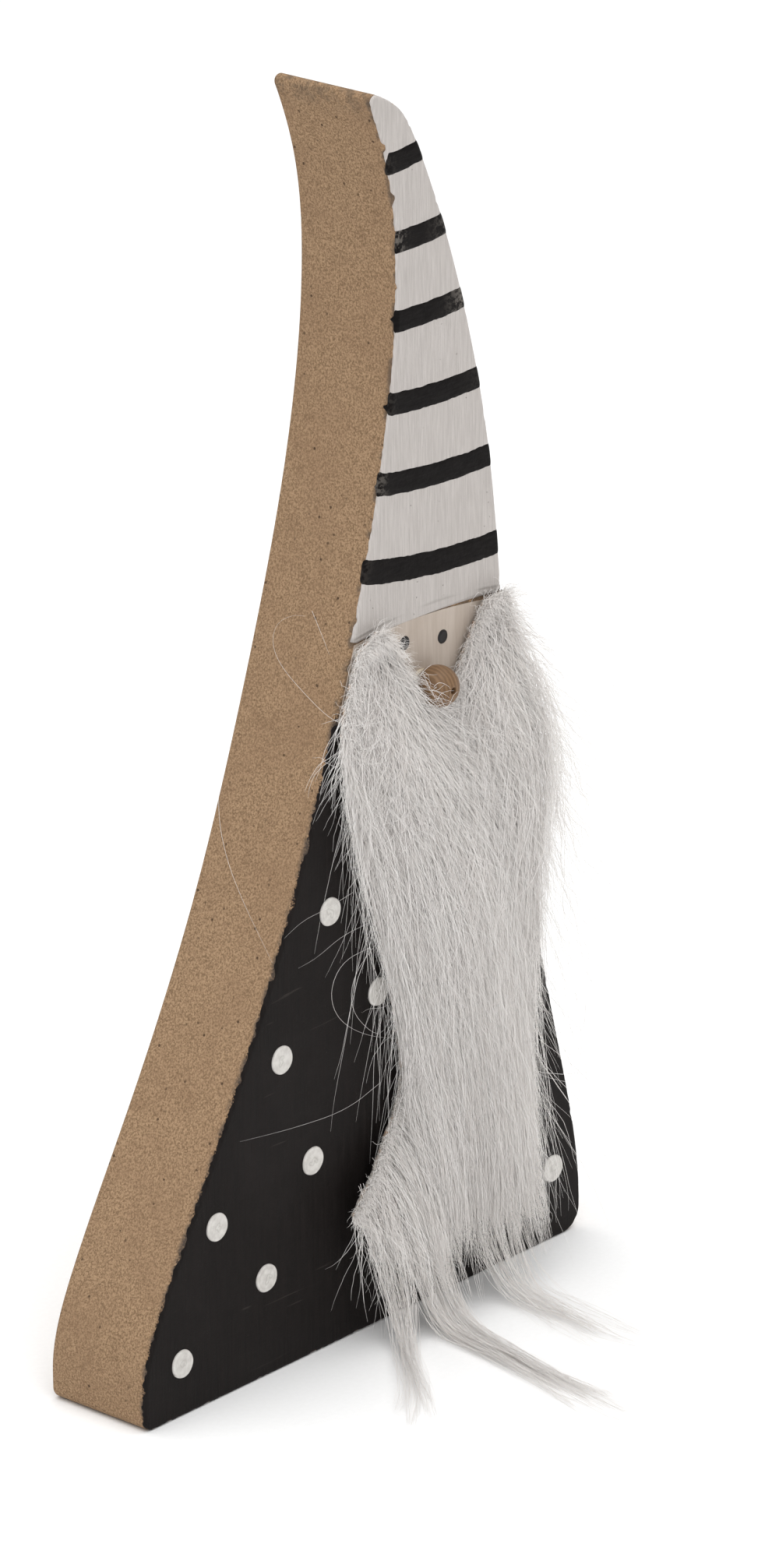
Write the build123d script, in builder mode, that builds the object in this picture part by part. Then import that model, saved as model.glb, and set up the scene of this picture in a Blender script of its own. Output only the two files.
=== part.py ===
"""Tomte gnome figurine: a painted silhouette board with a wooden bead nose and a long faux-fur beard.

Row frame in millimetres: X runs across the board, the figure's front faces -Y, and +Z is up.
The origin is the centre of the board's flat bottom face.
"""

import os

from build123d import *

os.makedirs("parts", exist_ok=True)

# Board
BOARD_HALF_WIDTH = 65.7
BOARD_THICKNESS = 25.0
BOARD_TIP = 254.6
ARRIS_RADIUS = 0.8
LEFT_FOOT_RADIUS = 2.5
RIGHT_FOOT_RADIUS = 5.0
FOOT_TOP = 6.0

# Paint
FILM = 0.2
COAT_TOP = 131.0
HEM_MIDDLE = (13.0, 146.6)
HEM_LEFT = (-25.0, 141.7)
HEM_RIGHT = (60.0, 139.0)
BAND_WIDTHS = [4.6, 4.7, 4.6, 4.7, 4.8, 5.2]
BAND_FILM = 0.15
DOT_RADIUS = 2.95
DOT_HEIGHT = 0.45
DOT_EDGE = 0.3
EYE_RADIUS = 1.45
EYE_HEIGHT = 0.3
EYES = [(12.0, 142.3), (23.3, 140.6)]

# Nose
BEAD_RADIUS = 4.3
BEAD_HOLE_RADIUS = 0.7
BEAD_CHAMFER = 0.25
NOSE = (16.6, 133.1)
NOSE_GLUE_RADIUS = 2.6
NOSE_GLUE_THICKNESS = 0.25
NOSE_GLUE_RIM = 0.8

# Beard
GLUE_THICKNESS = 0.7
GLUE_CORNER_RADIUS = 0.8
CLOTH_THICKNESS = 1.0
CLOTH_BEND_TOP = 62.0
CLOTH_LOW_END = 4.0
CLOTH_LIFT = 5.0
PILE_GAP = 0.3
BEARD_REACH = 78.0

FRONT = Plane.XZ.offset(BOARD_THICKNESS / 2)
PAINTED_FRONT = FRONT.offset(FILM)
PAINTED_Y = -BOARD_THICKNESS / 2 - FILM
CLOTH_BACK_Y = PAINTED_Y - GLUE_THICKNESS
CLOTH_FRONT_Y = CLOTH_BACK_Y - CLOTH_THICKNESS


# Board: one flat blank sawn to a wave that leans over to the left at its tip.
LEFT_SIDE = [
    (-59.2, 26.0),
    (-43.9, 52.6),
    (-22.9, 93.1),
    (-7.0, 135.1),
    (5.5, 177.7),
    (10.6, 214.0),
    (8.9, 237.0),
]
RIGHT_SIDE = [
    (11.7, 250.6),
    (16.6, 243.2),
    (23.7, 227.0),
    (31.9, 202.0),
    (37.9, 175.0),
    (41.0, 148.0),
    (43.8, 121.0),
    (52.2, 71.0),
    (60.0, 39.0),
]
TIP_RADIUS = 1.4
TIP_CENTRE = (4.8, BOARD_TIP - TIP_RADIUS)
TIP_START_ANGLE = 66.0
TIP_TURN = 138.0
UNIT_SPEED = [1.0, 1.0]
FOOT_LEFT = (-BOARD_HALF_WIDTH, FOOT_TOP)
FOOT_RIGHT = (BOARD_HALF_WIDTH, FOOT_TOP)

with BuildPart() as board:
    with BuildSketch(Plane.XZ.offset(-BOARD_THICKNESS / 2)):
        with BuildLine():
            tip = CenterArc(TIP_CENTRE, TIP_RADIUS, TIP_START_ANGLE, TIP_TURN)
            Spline(
                FOOT_LEFT,
                *LEFT_SIDE,
                tip @ 1,
                tangents=[(0, 1), -(tip % 1)],
                tangent_scalars=UNIT_SPEED,
            )
            Spline(
                tip @ 0,
                *RIGHT_SIDE,
                FOOT_RIGHT,
                tangents=[-(tip % 0), (0, -1)],
                tangent_scalars=UNIT_SPEED,
            )
            FilletPolyline(
                FOOT_RIGHT,
                (BOARD_HALF_WIDTH, 0),
                (-BOARD_HALF_WIDTH, 0),
                FOOT_LEFT,
                radius=[RIGHT_FOOT_RADIUS, LEFT_FOOT_RADIUS],
            )
        make_face()
    extrude(amount=BOARD_THICKNESS)
    front_rim = board.edges().group_by(Axis.Y)[0]
    back_rim = board.edges().group_by(Axis.Y)[-1]
    fillet(front_rim + back_rim, ARRIS_RADIUS)
board.part.label = "board"
export_step(board.part, "parts/board.step")

flat_front = board.faces().sort_by(Axis.Y)[0]


# Paint: three thin coats side by side on the flat front.
def hem_arc():
    """The hat's lower edge, a shallow arc over the face."""
    return ThreePointArc(HEM_LEFT, HEM_MIDDLE, HEM_RIGHT)


with BuildPart() as coat_paint:
    extrude(flat_front, amount=FILM)
    with BuildSketch(FRONT):
        with Locations((0, COAT_TOP / 2)):
            Rectangle(2 * BOARD_HALF_WIDTH, COAT_TOP)
    extrude(amount=FILM, mode=Mode.INTERSECT)
coat_paint.part.label = "coat_paint"
export_step(coat_paint.part, "parts/coat_paint.step")

with BuildPart() as face_paint:
    extrude(flat_front, amount=FILM)
    with BuildSketch(FRONT):
        with BuildLine():
            hem_arc()
            Polyline(HEM_RIGHT, (HEM_RIGHT[0], COAT_TOP), (HEM_LEFT[0], COAT_TOP), HEM_LEFT)
        make_face()
    extrude(amount=FILM, mode=Mode.INTERSECT)
face_paint.part.label = "face_paint"
export_step(face_paint.part, "parts/face_paint.step")

with BuildPart() as hat_paint:
    extrude(flat_front, amount=FILM)
    with BuildSketch(FRONT):
        with BuildLine():
            hem_arc()
            Polyline(HEM_RIGHT, (HEM_RIGHT[0], BOARD_TIP), (HEM_LEFT[0], BOARD_TIP), HEM_LEFT)
        make_face()
    extrude(amount=FILM, mode=Mode.INTERSECT)
hat_paint.part.label = "hat_paint"
export_step(hat_paint.part, "parts/hat_paint.step")

# Bands: left end, middle and right end of each band's centre line, which run past the board.
BANDS = [
    [(6.0, 240.2), (13.0, 240.5), (20.5, 241.8)],
    [(8.0, 224.3), (17.5, 224.3), (27.5, 225.4)],
    [(7.5, 208.5), (20.0, 208.2), (33.0, 209.1)],
    [(6.0, 192.4), (21.0, 191.2), (38.0, 191.7)],
    [(3.0, 176.9), (21.0, 174.8), (41.0, 174.8)],
    [(-2.0, 160.4), (20.0, 156.8), (43.5, 156.1)],
]

with BuildPart() as hat_stripes:
    extrude(flat_front, amount=FILM + BAND_FILM)
    with BuildSketch(PAINTED_FRONT):
        for centre_line, width in zip(BANDS, BAND_WIDTHS):
            with BuildLine():
                ThreePointArc(*centre_line)
            trace(line_width=width)
    extrude(amount=BAND_FILM, mode=Mode.INTERSECT)
hat_stripes.part.label = "hat_stripes"
export_step(hat_stripes.part, "parts/hat_stripes.step")

# Dots: thick round drops stamped on the coat. The last four are under the beard.
DOTS = [
    (-10.6, 92.8),
    (-25.1, 66.0),
    (-16.4, 41.7),
    (-44.5, 36.9),
    (-30.4, 21.2),
    (-55.0, 11.3),
    (3.4, 71.6),
    (56.8, 15.8),
    (20.0, 44.0),
    (34.0, 68.0),
    (39.0, 24.0),
    (12.0, 16.0),
]

with BuildPart() as coat_dots:
    with BuildSketch(PAINTED_FRONT):
        with Locations(*DOTS):
            Circle(DOT_RADIUS)
    extrude(amount=DOT_HEIGHT)
    fillet(coat_dots.edges().group_by(Axis.Y)[0], DOT_EDGE)
coat_dots.part.label = "coat_dots"
export_step(coat_dots.part, "parts/coat_dots.step")

with BuildPart() as eyes:
    with BuildSketch(PAINTED_FRONT):
        with Locations(*EYES):
            Circle(EYE_RADIUS)
    extrude(amount=EYE_HEIGHT)
    fillet(eyes.edges().group_by(Axis.Y)[0], EYE_HEIGHT / 2)
eyes.part.label = "eyes"
export_step(eyes.part, "parts/eyes.step")


# Nose: a drilled wooden bead that sits in a drop of glue, with its hole facing forwards.
NOSE_Y = PAINTED_Y - NOSE_GLUE_THICKNESS - BEAD_RADIUS

with BuildPart() as nose_bead:
    with Locations((NOSE[0], NOSE_Y, NOSE[1])):
        Sphere(BEAD_RADIUS)
    with Locations(Plane.XZ.offset(-NOSE_Y + BEAD_RADIUS) * Location((*NOSE, 0))):
        Hole(BEAD_HOLE_RADIUS, 2 * BEAD_RADIUS)
    chamfer(nose_bead.edges().filter_by(GeomType.CIRCLE), BEAD_CHAMFER)
nose_bead.part.label = "nose_bead"
export_step(nose_bead.part, "parts/nose_bead.step")

with BuildPart() as nose_glue:
    with BuildSketch(PAINTED_FRONT):
        with Locations(NOSE):
            Circle(NOSE_GLUE_RADIUS)
    extrude(amount=NOSE_GLUE_RIM)
    with Locations((NOSE[0], NOSE_Y, NOSE[1])):
        Sphere(BEAD_RADIUS, mode=Mode.SUBTRACT)
nose_glue.part.label = "nose_glue"
export_step(nose_glue.part, "parts/nose_glue.step")


# Beard backing: the fur's base cloth, cut with a V for the face. It is glued at its top, and its
# free lower end flares to a corner at the left and stands off the board.
CLOTH_TOP_LEFT = (-3.6, 144.4)
CLOTH_LEFT_LOBE = (2.6, 147.4)
CLOTH_NOTCH = [(9.5, 138.5), (13.0, 129.5), (18.0, 126.8), (24.0, 130.0), (28.4, 137.0)]
CLOTH_RIGHT_LOBE = (34.2, 145.4)
CLOTH_TOP_RIGHT = (40.0, 146.0)
CLOTH_RIGHT_EDGE = [(42.6, 118.0), (42.0, 82.0), (41.0, 48.0)]
CLOTH_LOW_RIGHT = (44.0, 13.0)
CLOTH_LOW_EDGE = [(22.0, 9.5), (2.0, 14.0)]
CLOTH_CORNER = (-11.2, 29.2)
CLOTH_LEFT_EDGE = [(-1.0, 38.5), (8.0, 52.0), (2.0, 78.0), (-4.6, 108.0), (-8.0, 128.0)]



def hanging_line(y):
    """A side profile that hangs straight down and then bends forwards at its lower end."""
    hang = Line((y, BOARD_TIP), (y, CLOTH_BEND_TOP))
    return hang, TangentArc(hang @ 1, (y - CLOTH_LIFT, CLOTH_LOW_END), tangent=(0, -1))


with BuildPart() as beard_backing:
    with BuildSketch(Plane.YZ.offset(-BOARD_HALF_WIDTH)):
        with BuildLine():
            back_line, back_bend = hanging_line(CLOTH_BACK_Y)
            front_line, front_bend = hanging_line(CLOTH_FRONT_Y)
            Line(back_line @ 0, front_line @ 0)
            Line(back_bend @ 1, front_bend @ 1)
        make_face()
    extrude(amount=2 * BOARD_HALF_WIDTH)
    with BuildSketch(FRONT):
        with BuildLine():
            Line(CLOTH_TOP_LEFT, CLOTH_LEFT_LOBE)
            Spline(CLOTH_LEFT_LOBE, *CLOTH_NOTCH, CLOTH_RIGHT_LOBE)
            Line(CLOTH_RIGHT_LOBE, CLOTH_TOP_RIGHT)
            Spline(CLOTH_TOP_RIGHT, *CLOTH_RIGHT_EDGE, CLOTH_LOW_RIGHT)
            Spline(CLOTH_LOW_RIGHT, *CLOTH_LOW_EDGE, CLOTH_CORNER)
            Spline(CLOTH_CORNER, *CLOTH_LEFT_EDGE, CLOTH_TOP_LEFT)
        make_face()
    extrude(amount=BOARD_THICKNESS, mode=Mode.INTERSECT)
beard_backing.part.label = "beard_backing"
export_step(beard_backing.part, "parts/beard_backing.step")

# Beard glue: two dabs under the cloth's lobes that join in a strip below the nose.
GLUE_OUTLINE = [
    (-1.0, 142.0),
    (2.0, 144.0),
    (7.0, 136.0),
    (11.0, 125.5),
    (18.0, 122.5),
    (26.0, 125.5),
    (31.5, 137.0),
    (35.5, 143.0),
    (38.5, 143.0),
    (39.5, 118.0),
    (18.0, 114.0),
    (-3.5, 118.0),
]

with BuildPart() as beard_glue:
    with BuildSketch(PAINTED_FRONT):
        with BuildLine():
            Polyline(*GLUE_OUTLINE, close=True)
        make_face()
        fillet(vertices(), GLUE_CORNER_RADIUS)
    extrude(amount=GLUE_THICKNESS)
beard_glue.part.label = "beard_glue"
export_step(beard_glue.part, "parts/beard_glue.step")


# Beard pile: the fibres as one plain soft solid. Its upper part swells in front of the cloth, and
# its tips come down to the table and lie forwards on it in three locks.
PILE_TOP_LEFT = (-3.5, 145.0)
PILE_LEFT_LOBE = (2.0, 147.2)
PILE_NOTCH = [(7.5, 140.0), (11.5, 129.0), (17.0, 126.0), (22.5, 128.5), (27.8, 136.5)]
PILE_RIGHT_LOBE = (33.5, 145.2)
PILE_TOP_RIGHT = (39.0, 147.5)
PILE_RIGHT_EDGE = [(46.0, 118.0), (43.8, 75.0), (43.2, 45.0)]
PILE_LOW_RIGHT = (45.0, 16.0)
PILE_LEFT_EDGE = [(-6.5, 14.0), (-11.5, 29.0), (5.0, 54.0), (0.0, 78.0), (-6.5, 108.0), (-9.5, 127.0)]
PILE_FACE = [(-21.0, 143.0), (-26.5, 120.0), (-25.0, 60.0), (-27.5, 20.0)]
PILE_FACE_TOP = (-17.5, 150.0)
LOCKS_BEND = [(-34.0, 8.0), (-52.0, 4.0)]
LOCKS_END_HEIGHT = 2.0
LOCKS_FLOOR_START = -24.0
LOCKS_HEIGHT = 10.0
LOCKS_LEFT = -36.0
LOCKS_ROOT_Y = -32.0
LOCKS_ROOT = [(-14.0, 0.0), (-14.0, -20.0), (-6.0, LOCKS_ROOT_Y), (46.0, LOCKS_ROOT_Y), (46.0, 0.0)]
LOCK_LEFT = [(-8.0, LOCKS_ROOT_Y), (2.0, LOCKS_ROOT_Y), (-28.0, -64.0), (-35.0, -61.0)]
LOCK_MIDDLE = [(0.0, LOCKS_ROOT_Y), (27.0, LOCKS_ROOT_Y), (4.0, -BEARD_REACH), (-5.0, -BEARD_REACH)]
LOCK_RIGHT = [(25.0, LOCKS_ROOT_Y), (42.0, LOCKS_ROOT_Y), (34.0, -61.0), (26.0, -62.0)]

with BuildPart() as beard_pile:
    with BuildSketch(Plane.YZ.offset(-BOARD_HALF_WIDTH)):
        with BuildLine():
            pile_back, pile_bend = hanging_line(CLOTH_FRONT_Y - PILE_GAP)
            Polyline(
                pile_bend @ 1,
                (LOCKS_FLOOR_START, 0),
                (-BEARD_REACH, 0),
                (-BEARD_REACH, LOCKS_END_HEIGHT),
            )
            Spline((-BEARD_REACH, LOCKS_END_HEIGHT), *reversed(LOCKS_BEND), PILE_FACE[-1])
            Spline(PILE_FACE[-1], *reversed(PILE_FACE[:-1]), PILE_FACE_TOP)
            Polyline(PILE_FACE_TOP, (PILE_FACE_TOP[0], BOARD_TIP), pile_back @ 0)
        make_face()
    extrude(amount=2 * BOARD_HALF_WIDTH)
    with BuildSketch(FRONT):
        with BuildLine():
            Line(PILE_TOP_LEFT, PILE_LEFT_LOBE)
            Spline(PILE_LEFT_LOBE, *PILE_NOTCH, PILE_RIGHT_LOBE)
            Line(PILE_RIGHT_LOBE, PILE_TOP_RIGHT)
            Spline(PILE_TOP_RIGHT, *PILE_RIGHT_EDGE, PILE_LOW_RIGHT)
            Polyline(
                PILE_LOW_RIGHT,
                (PILE_LOW_RIGHT[0], 0),
                (LOCKS_LEFT, 0),
                (LOCKS_LEFT, LOCKS_HEIGHT),
                PILE_LEFT_EDGE[0],
            )
            Polyline(*PILE_LEFT_EDGE[:2])
            Spline(*PILE_LEFT_EDGE[1:], PILE_TOP_LEFT)
        make_face()
    extrude(amount=BEARD_REACH, mode=Mode.INTERSECT)
    with BuildSketch(Plane.XY):
        Polygon(*LOCKS_ROOT, align=None)
        for lock in (LOCK_LEFT, LOCK_MIDDLE, LOCK_RIGHT):
            Polygon(*lock, align=None)
    extrude(amount=BOARD_TIP, mode=Mode.INTERSECT)
beard_pile.part.label = "beard_pile"
export_step(beard_pile.part, "parts/beard_pile.step")
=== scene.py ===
"""Looks of the tomte gnome figurine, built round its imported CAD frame.

Lengths in this file are millimetres in the row frame until a mesh is made, and metres in Blender.
The figure's front faces -Y. Its fur is grown strand by strand from the backing cloth.
"""

import math

import bmesh
import bpy
import numpy as np
from mathutils import Matrix, Vector
from mathutils.geometry import delaunay_2d_cdt, tessellate_polygon


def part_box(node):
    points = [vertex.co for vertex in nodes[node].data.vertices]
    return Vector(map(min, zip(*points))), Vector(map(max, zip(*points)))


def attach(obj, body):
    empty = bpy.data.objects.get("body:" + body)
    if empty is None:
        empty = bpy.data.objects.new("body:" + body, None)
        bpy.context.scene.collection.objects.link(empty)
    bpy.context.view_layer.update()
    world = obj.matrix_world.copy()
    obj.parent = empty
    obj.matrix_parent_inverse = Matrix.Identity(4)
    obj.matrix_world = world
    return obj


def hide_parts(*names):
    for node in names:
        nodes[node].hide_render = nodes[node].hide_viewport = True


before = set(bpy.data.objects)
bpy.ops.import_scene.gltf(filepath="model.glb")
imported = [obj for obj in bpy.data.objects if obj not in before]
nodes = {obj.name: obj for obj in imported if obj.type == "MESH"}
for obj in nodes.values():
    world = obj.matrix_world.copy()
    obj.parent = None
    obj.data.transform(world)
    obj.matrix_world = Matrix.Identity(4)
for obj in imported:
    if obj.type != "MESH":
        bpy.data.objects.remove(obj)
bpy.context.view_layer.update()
MM = 0.001

FRONT_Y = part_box("board")[0].y / MM
PAINTED_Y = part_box("coat_paint")[0].y / MM
CLOTH_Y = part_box("beard_glue")[0].y / MM
ARRIS = 0.8


# ---------------------------------------------------------------- node helpers
class Material:
    """A Principled material and short calls that add its pattern nodes."""

    def __init__(self, name, roughness=0.6, specular=0.3):
        self.mat = bpy.data.materials.new(name)
        self.mat.use_nodes = True
        self.tree = self.mat.node_tree
        self.shader = self.tree.nodes["Principled BSDF"]
        self.shader.inputs["Roughness"].default_value = roughness
        self.shader.inputs["Specular IOR Level"].default_value = specular
        self.place = self.add("ShaderNodeTexCoord").outputs["Object"]

    def add(self, kind, **settings):
        node = self.tree.nodes.new(kind)
        for key, value in settings.items():
            setattr(node, key, value)
        return node

    def put(self, socket, value):
        if isinstance(value, bpy.types.NodeSocket):
            self.tree.links.new(value, socket)
        else:
            socket.default_value = value

    def stretched(self, scale):
        node = self.add("ShaderNodeVectorMath", operation="MULTIPLY")
        self.put(node.inputs[0], self.place)
        self.put(node.inputs[1], scale)
        return node.outputs[0]

    def noise(self, scale, detail=4.0, rough=0.6, vector=None, distortion=0.0):
        node = self.add("ShaderNodeTexNoise")
        self.put(node.inputs["Vector"], vector or self.place)
        node.inputs["Scale"].default_value = scale
        node.inputs["Detail"].default_value = detail
        node.inputs["Roughness"].default_value = rough
        node.inputs["Distortion"].default_value = distortion
        return node.outputs[0]

    def cells(self, scale):
        node = self.add("ShaderNodeTexVoronoi")
        self.put(node.inputs["Vector"], self.place)
        node.inputs["Scale"].default_value = scale
        return node.outputs["Distance"]

    def math(self, operation, a, b=0.0):
        node = self.add("ShaderNodeMath", operation=operation)
        self.put(node.inputs[0], a)
        self.put(node.inputs[1], b)
        return node.outputs[0]

    def ramp(self, value, low, high, to_low=0.0, to_high=1.0):
        node = self.add("ShaderNodeMapRange", interpolation_type="SMOOTHSTEP")
        self.put(node.inputs["Value"], value)
        for key, number in (
            ("From Min", low),
            ("From Max", high),
            ("To Min", to_low),
            ("To Max", to_high),
        ):
            node.inputs[key].default_value = number
        return node.outputs["Result"]

    def mix(self, share, a, b):
        node = self.add("ShaderNodeMix", data_type="RGBA")
        self.put(node.inputs[0], share)
        for socket, value in ((node.inputs[6], a), (node.inputs[7], b)):
            self.put(socket, (*value, 1.0) if isinstance(value, tuple) else value)
        return node.outputs[2]

    def bump(self, height, depth, under=None):
        """A relief of depth mm, on top of the normal under."""
        node = self.add("ShaderNodeBump")
        node.inputs["Strength"].default_value = 1.0
        node.inputs["Distance"].default_value = depth * MM
        self.put(node.inputs["Height"], height)
        if under is not None:
            self.put(node.inputs["Normal"], under)
        return node.outputs["Normal"]

    def tint(self, pattern, low, high, most, shade):
        """Turns the colour towards shade, by at most most, as pattern goes from low to high."""
        self.cover(self.ramp(pattern, low, high, 0.0, most), shade)

    def cover(self, share, shade):
        self.colour = self.mix(share, self.colour, srgb(*shade))

    def between(self, pattern, low, high, dark, light):
        """Starts the colour as dark where pattern is low and light where it is high."""
        self.colour = self.mix(self.ramp(pattern, low, high), srgb(*dark), srgb(*light))

    def axes(self):
        node = self.add("ShaderNodeSeparateXYZ")
        self.put(node.inputs[0], self.place)
        return node.outputs

    def attribute(self, name):
        return self.add("ShaderNodeAttribute", attribute_name=name).outputs["Fac"]

    def finish(self, roughness=None, normal=None):
        self.put(self.shader.inputs["Base Color"], self.colour)
        if roughness is not None:
            self.put(self.shader.inputs["Roughness"], roughness)
        if normal is not None:
            self.put(self.shader.inputs["Normal"], normal)
        return self.mat


def srgb(red, green, blue):
    """A colour given in display values from 0 to 255, as linear values."""
    out = []
    for c in (red, green, blue):
        c /= 255
        out.append(c / 12.92 if c <= 0.04045 else ((c + 0.055) / 1.055) ** 2.4)
    return tuple(out)


def make_mdf():
    m = Material("mdf", roughness=0.85, specular=0.12)
    mottle = m.noise(60, 4, 0.65)
    cloud = m.noise(170, 4, 0.6)
    speck = m.noise(2300, 5, 0.75)
    grain = m.noise(5200, 2, 0.6)
    m.between(speck, 0.39, 0.62, (108, 84, 61), (178, 148, 117))
    m.tint(grain, 0.3, 0.72, 0.45, (182, 153, 122))
    m.tint(mottle, 0.4, 0.68, 0.35, (143, 115, 90))
    m.tint(cloud, 0.52, 0.78, 0.35, (124, 98, 75))
    # Dark pits: partly the board's own dark specks, partly painted shade in the pits.
    pits = m.ramp(m.cells(430), 0.07, 0.15, 1.0, 0.0)
    rare = m.ramp(m.noise(120, 2, 0.5), 0.47, 0.57)
    pits = m.math("MULTIPLY", pits, rare)
    m.cover(m.math("MULTIPLY", pits, 0.75), (62, 46, 34))
    # Flecks of coat paint near the front arris, below the hat.
    _, y, z = m.axes()
    near = m.ramp(y, FRONT_Y * MM, (FRONT_Y + 2.2) * MM, 1.0, 0.0)
    low = m.ramp(z, 0.13, 0.14, 1.0, 0.0)
    fleck = m.math("MULTIPLY", m.math("MULTIPLY", near, low), m.noise(2600, 3, 0.7))
    m.cover(m.ramp(fleck, 0.40, 0.47), (40, 34, 32))
    # Thinned paint darkens the board just past the hat coat's end.
    past = m.ramp(y, (FRONT_Y + 0.6) * MM, (FRONT_Y + 1.7) * MM, 0.75, 0.0)
    past = m.math("MULTIPLY", past, m.ramp(m.noise(260, 3, 0.6), 0.42, 0.6))
    m.cover(past, (88, 78, 70))
    # Handling grime on the tip.
    top = m.ramp(z, 0.247, 0.2545, 0.0, 0.55)
    dirt = m.math("MULTIPLY", top, m.ramp(m.noise(420, 4, 0.7), 0.4, 0.65))
    m.cover(dirt, (84, 76, 68))
    normal = m.bump(speck, 0.16)
    normal = m.bump(grain, 0.08, normal)
    normal = m.bump(pits, -0.25, normal)
    return m.finish(m.ramp(speck, 0.3, 0.7, 0.78, 0.95), normal)


def make_hat_white():
    m = Material("hat_white", roughness=0.6, specular=0.25)
    streak = m.noise(1.0, 5, 0.65, m.stretched((3400, 1200, 150)))
    broad = m.noise(1.0, 3, 0.5, m.stretched((300, 200, 40)))
    stipple = m.noise(1700, 3, 0.6)
    m.between(streak, 0.3, 0.72, (180, 174, 170), (201, 195, 191))
    m.tint(broad, 0.45, 0.75, 0.2, (186, 180, 175))
    # Pits in the paint, darkened in colour: painted shade in the pits.
    pits = m.ramp(m.cells(620), 0.04, 0.09, 1.0, 0.0)
    rare = m.ramp(m.noise(1.0, 2, 0.5, m.stretched((420, 200, 60))), 0.53, 0.62)
    pits = m.math("MULTIPLY", pits, rare)
    m.cover(m.math("MULTIPLY", pits, 0.6), (112, 106, 100))
    # The masked edge of the face colour shows as a soft ridge just above the hem; its colour is
    # greyed by painted shade along the ridge.
    x, _, z = m.axes()
    drop = m.math("POWER", m.math("ABSOLUTE", m.math("SUBTRACT", x, 0.0175)), 2.0)
    hem = m.math("ADD", z, m.math("MULTIPLY", drop, 3.55))
    ridge = m.ramp(m.math("ABSOLUTE", m.math("SUBTRACT", hem, 0.14865)), 0.0, 0.00055, 1, 0)
    ridge = m.math("MULTIPLY", ridge, m.ramp(m.noise(130, 2, 0.5), 0.35, 0.6))
    m.cover(m.math("MULTIPLY", ridge, 0.35), (160, 155, 150))
    normal = m.bump(streak, 0.14)
    normal = m.bump(stipple, 0.06, normal)
    normal = m.bump(pits, -0.25, normal)
    normal = m.bump(ridge, 0.12, normal)
    return m.finish(m.ramp(streak, 0.3, 0.7, 0.52, 0.68), normal)


def make_coat_black():
    m = Material("coat_black", roughness=0.6, specular=0.08)
    streak = m.noise(1.0, 5, 0.65, m.stretched((1300, 800, 80)))
    patch = m.noise(60, 3, 0.55)
    dust = m.noise(2400, 3, 0.7)
    m.between(streak, 0.3, 0.75, (22, 19, 18), (33, 29, 28))
    m.tint(patch, 0.45, 0.8, 0.35, (42, 38, 37))
    m.tint(dust, 0.70, 0.80, 0.5, (118, 110, 104))
    scuff = m.noise(1.0, 2, 0.4, m.stretched((60, 60, 900)), 0.6)
    m.tint(scuff, 0.72, 0.78, 0.25, (84, 78, 74))
    normal = m.bump(streak, 0.12)
    normal = m.bump(m.noise(1900, 3, 0.6), 0.05, normal)
    return m.finish(m.ramp(streak, 0.3, 0.7, 0.46, 0.62), normal)


def make_face_beige():
    m = Material("face_beige", roughness=0.62, specular=0.22)
    streak = m.noise(1.0, 4, 0.6, m.stretched((1400, 900, 90)))
    patch = m.noise(140, 3, 0.5)
    m.between(streak, 0.3, 0.75, (180, 167, 155), (194, 182, 171))
    m.tint(patch, 0.5, 0.8, 0.35, (172, 156, 142))
    normal = m.bump(streak, 0.08)
    return m.finish(m.ramp(streak, 0.3, 0.7, 0.55, 0.7), normal)


def make_band_black():
    m = Material("band_black", roughness=0.6, specular=0.07)
    streak = m.noise(1.0, 4, 0.6, m.stretched((240, 240, 1500)))
    wear = m.noise(900, 4, 0.7)
    m.between(streak, 0.3, 0.75, (15, 12, 12), (24, 21, 20))
    ends = m.attribute("wear")
    worn = m.math("MULTIPLY", ends, m.ramp(wear, 0.44, 0.58))
    m.cover(worn, (128, 122, 116))
    normal = m.bump(streak, 0.08)
    normal = m.bump(m.noise(1500, 3, 0.6), 0.06, normal)
    return m.finish(m.ramp(wear, 0.3, 0.7, 0.42, 0.6), normal)


def make_dot_white():
    m = Material("dot_white", roughness=0.5, specular=0.3)
    dab = m.noise(700, 3, 0.6)
    m.between(dab, 0.3, 0.7, (198, 194, 189), (218, 215, 210))
    # Painted shade: each dot's colour darkens in the groove beside its curl and in its trough.
    groove = m.attribute("groove")
    m.cover(m.math("MULTIPLY", groove, 0.55), (150, 146, 140))
    normal = m.bump(dab, 0.06)
    return m.finish(m.ramp(dab, 0.3, 0.7, 0.42, 0.6), normal)


def make_eye_black():
    m = Material("eye_black", roughness=0.4, specular=0.3)
    dab = m.noise(1400, 3, 0.6)
    m.between(dab, 0.3, 0.75, (22, 20, 20), (38, 35, 35))
    return m.finish(m.ramp(dab, 0.3, 0.7, 0.32, 0.5), m.bump(dab, 0.05))


def make_bead_wood():
    m = Material("bead_wood", roughness=0.5, specular=0.28)
    rings = m.add("ShaderNodeTexWave", wave_type="BANDS", bands_direction="X")
    m.put(rings.inputs["Vector"], m.stretched((1.0, 0.35, 0.5)))
    rings.inputs["Scale"].default_value = 330
    rings.inputs["Distortion"].default_value = 5.0
    rings.inputs["Detail"].default_value = 3.0
    rings.inputs["Detail Scale"].default_value = 1.4
    pores = m.noise(1.0, 4, 0.65, m.stretched((3200, 500, 500)))
    m.between(rings.outputs["Fac"], 0.1, 0.9, (112, 86, 62), (132, 104, 77))
    m.tint(pores, 0.5, 0.75, 0.6, (98, 72, 50))
    normal = m.bump(pores, 0.06)
    return m.finish(m.ramp(pores, 0.3, 0.7, 0.42, 0.62), normal)


def make_glue():
    m = Material("glue", roughness=0.35, specular=0.4)
    flow = m.noise(300, 3, 0.5)
    m.between(flow, 0.3, 0.7, (184, 170, 150), (200, 188, 168))
    return m.finish(m.ramp(flow, 0.3, 0.7, 0.25, 0.45), m.bump(flow, 0.2))


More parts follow.
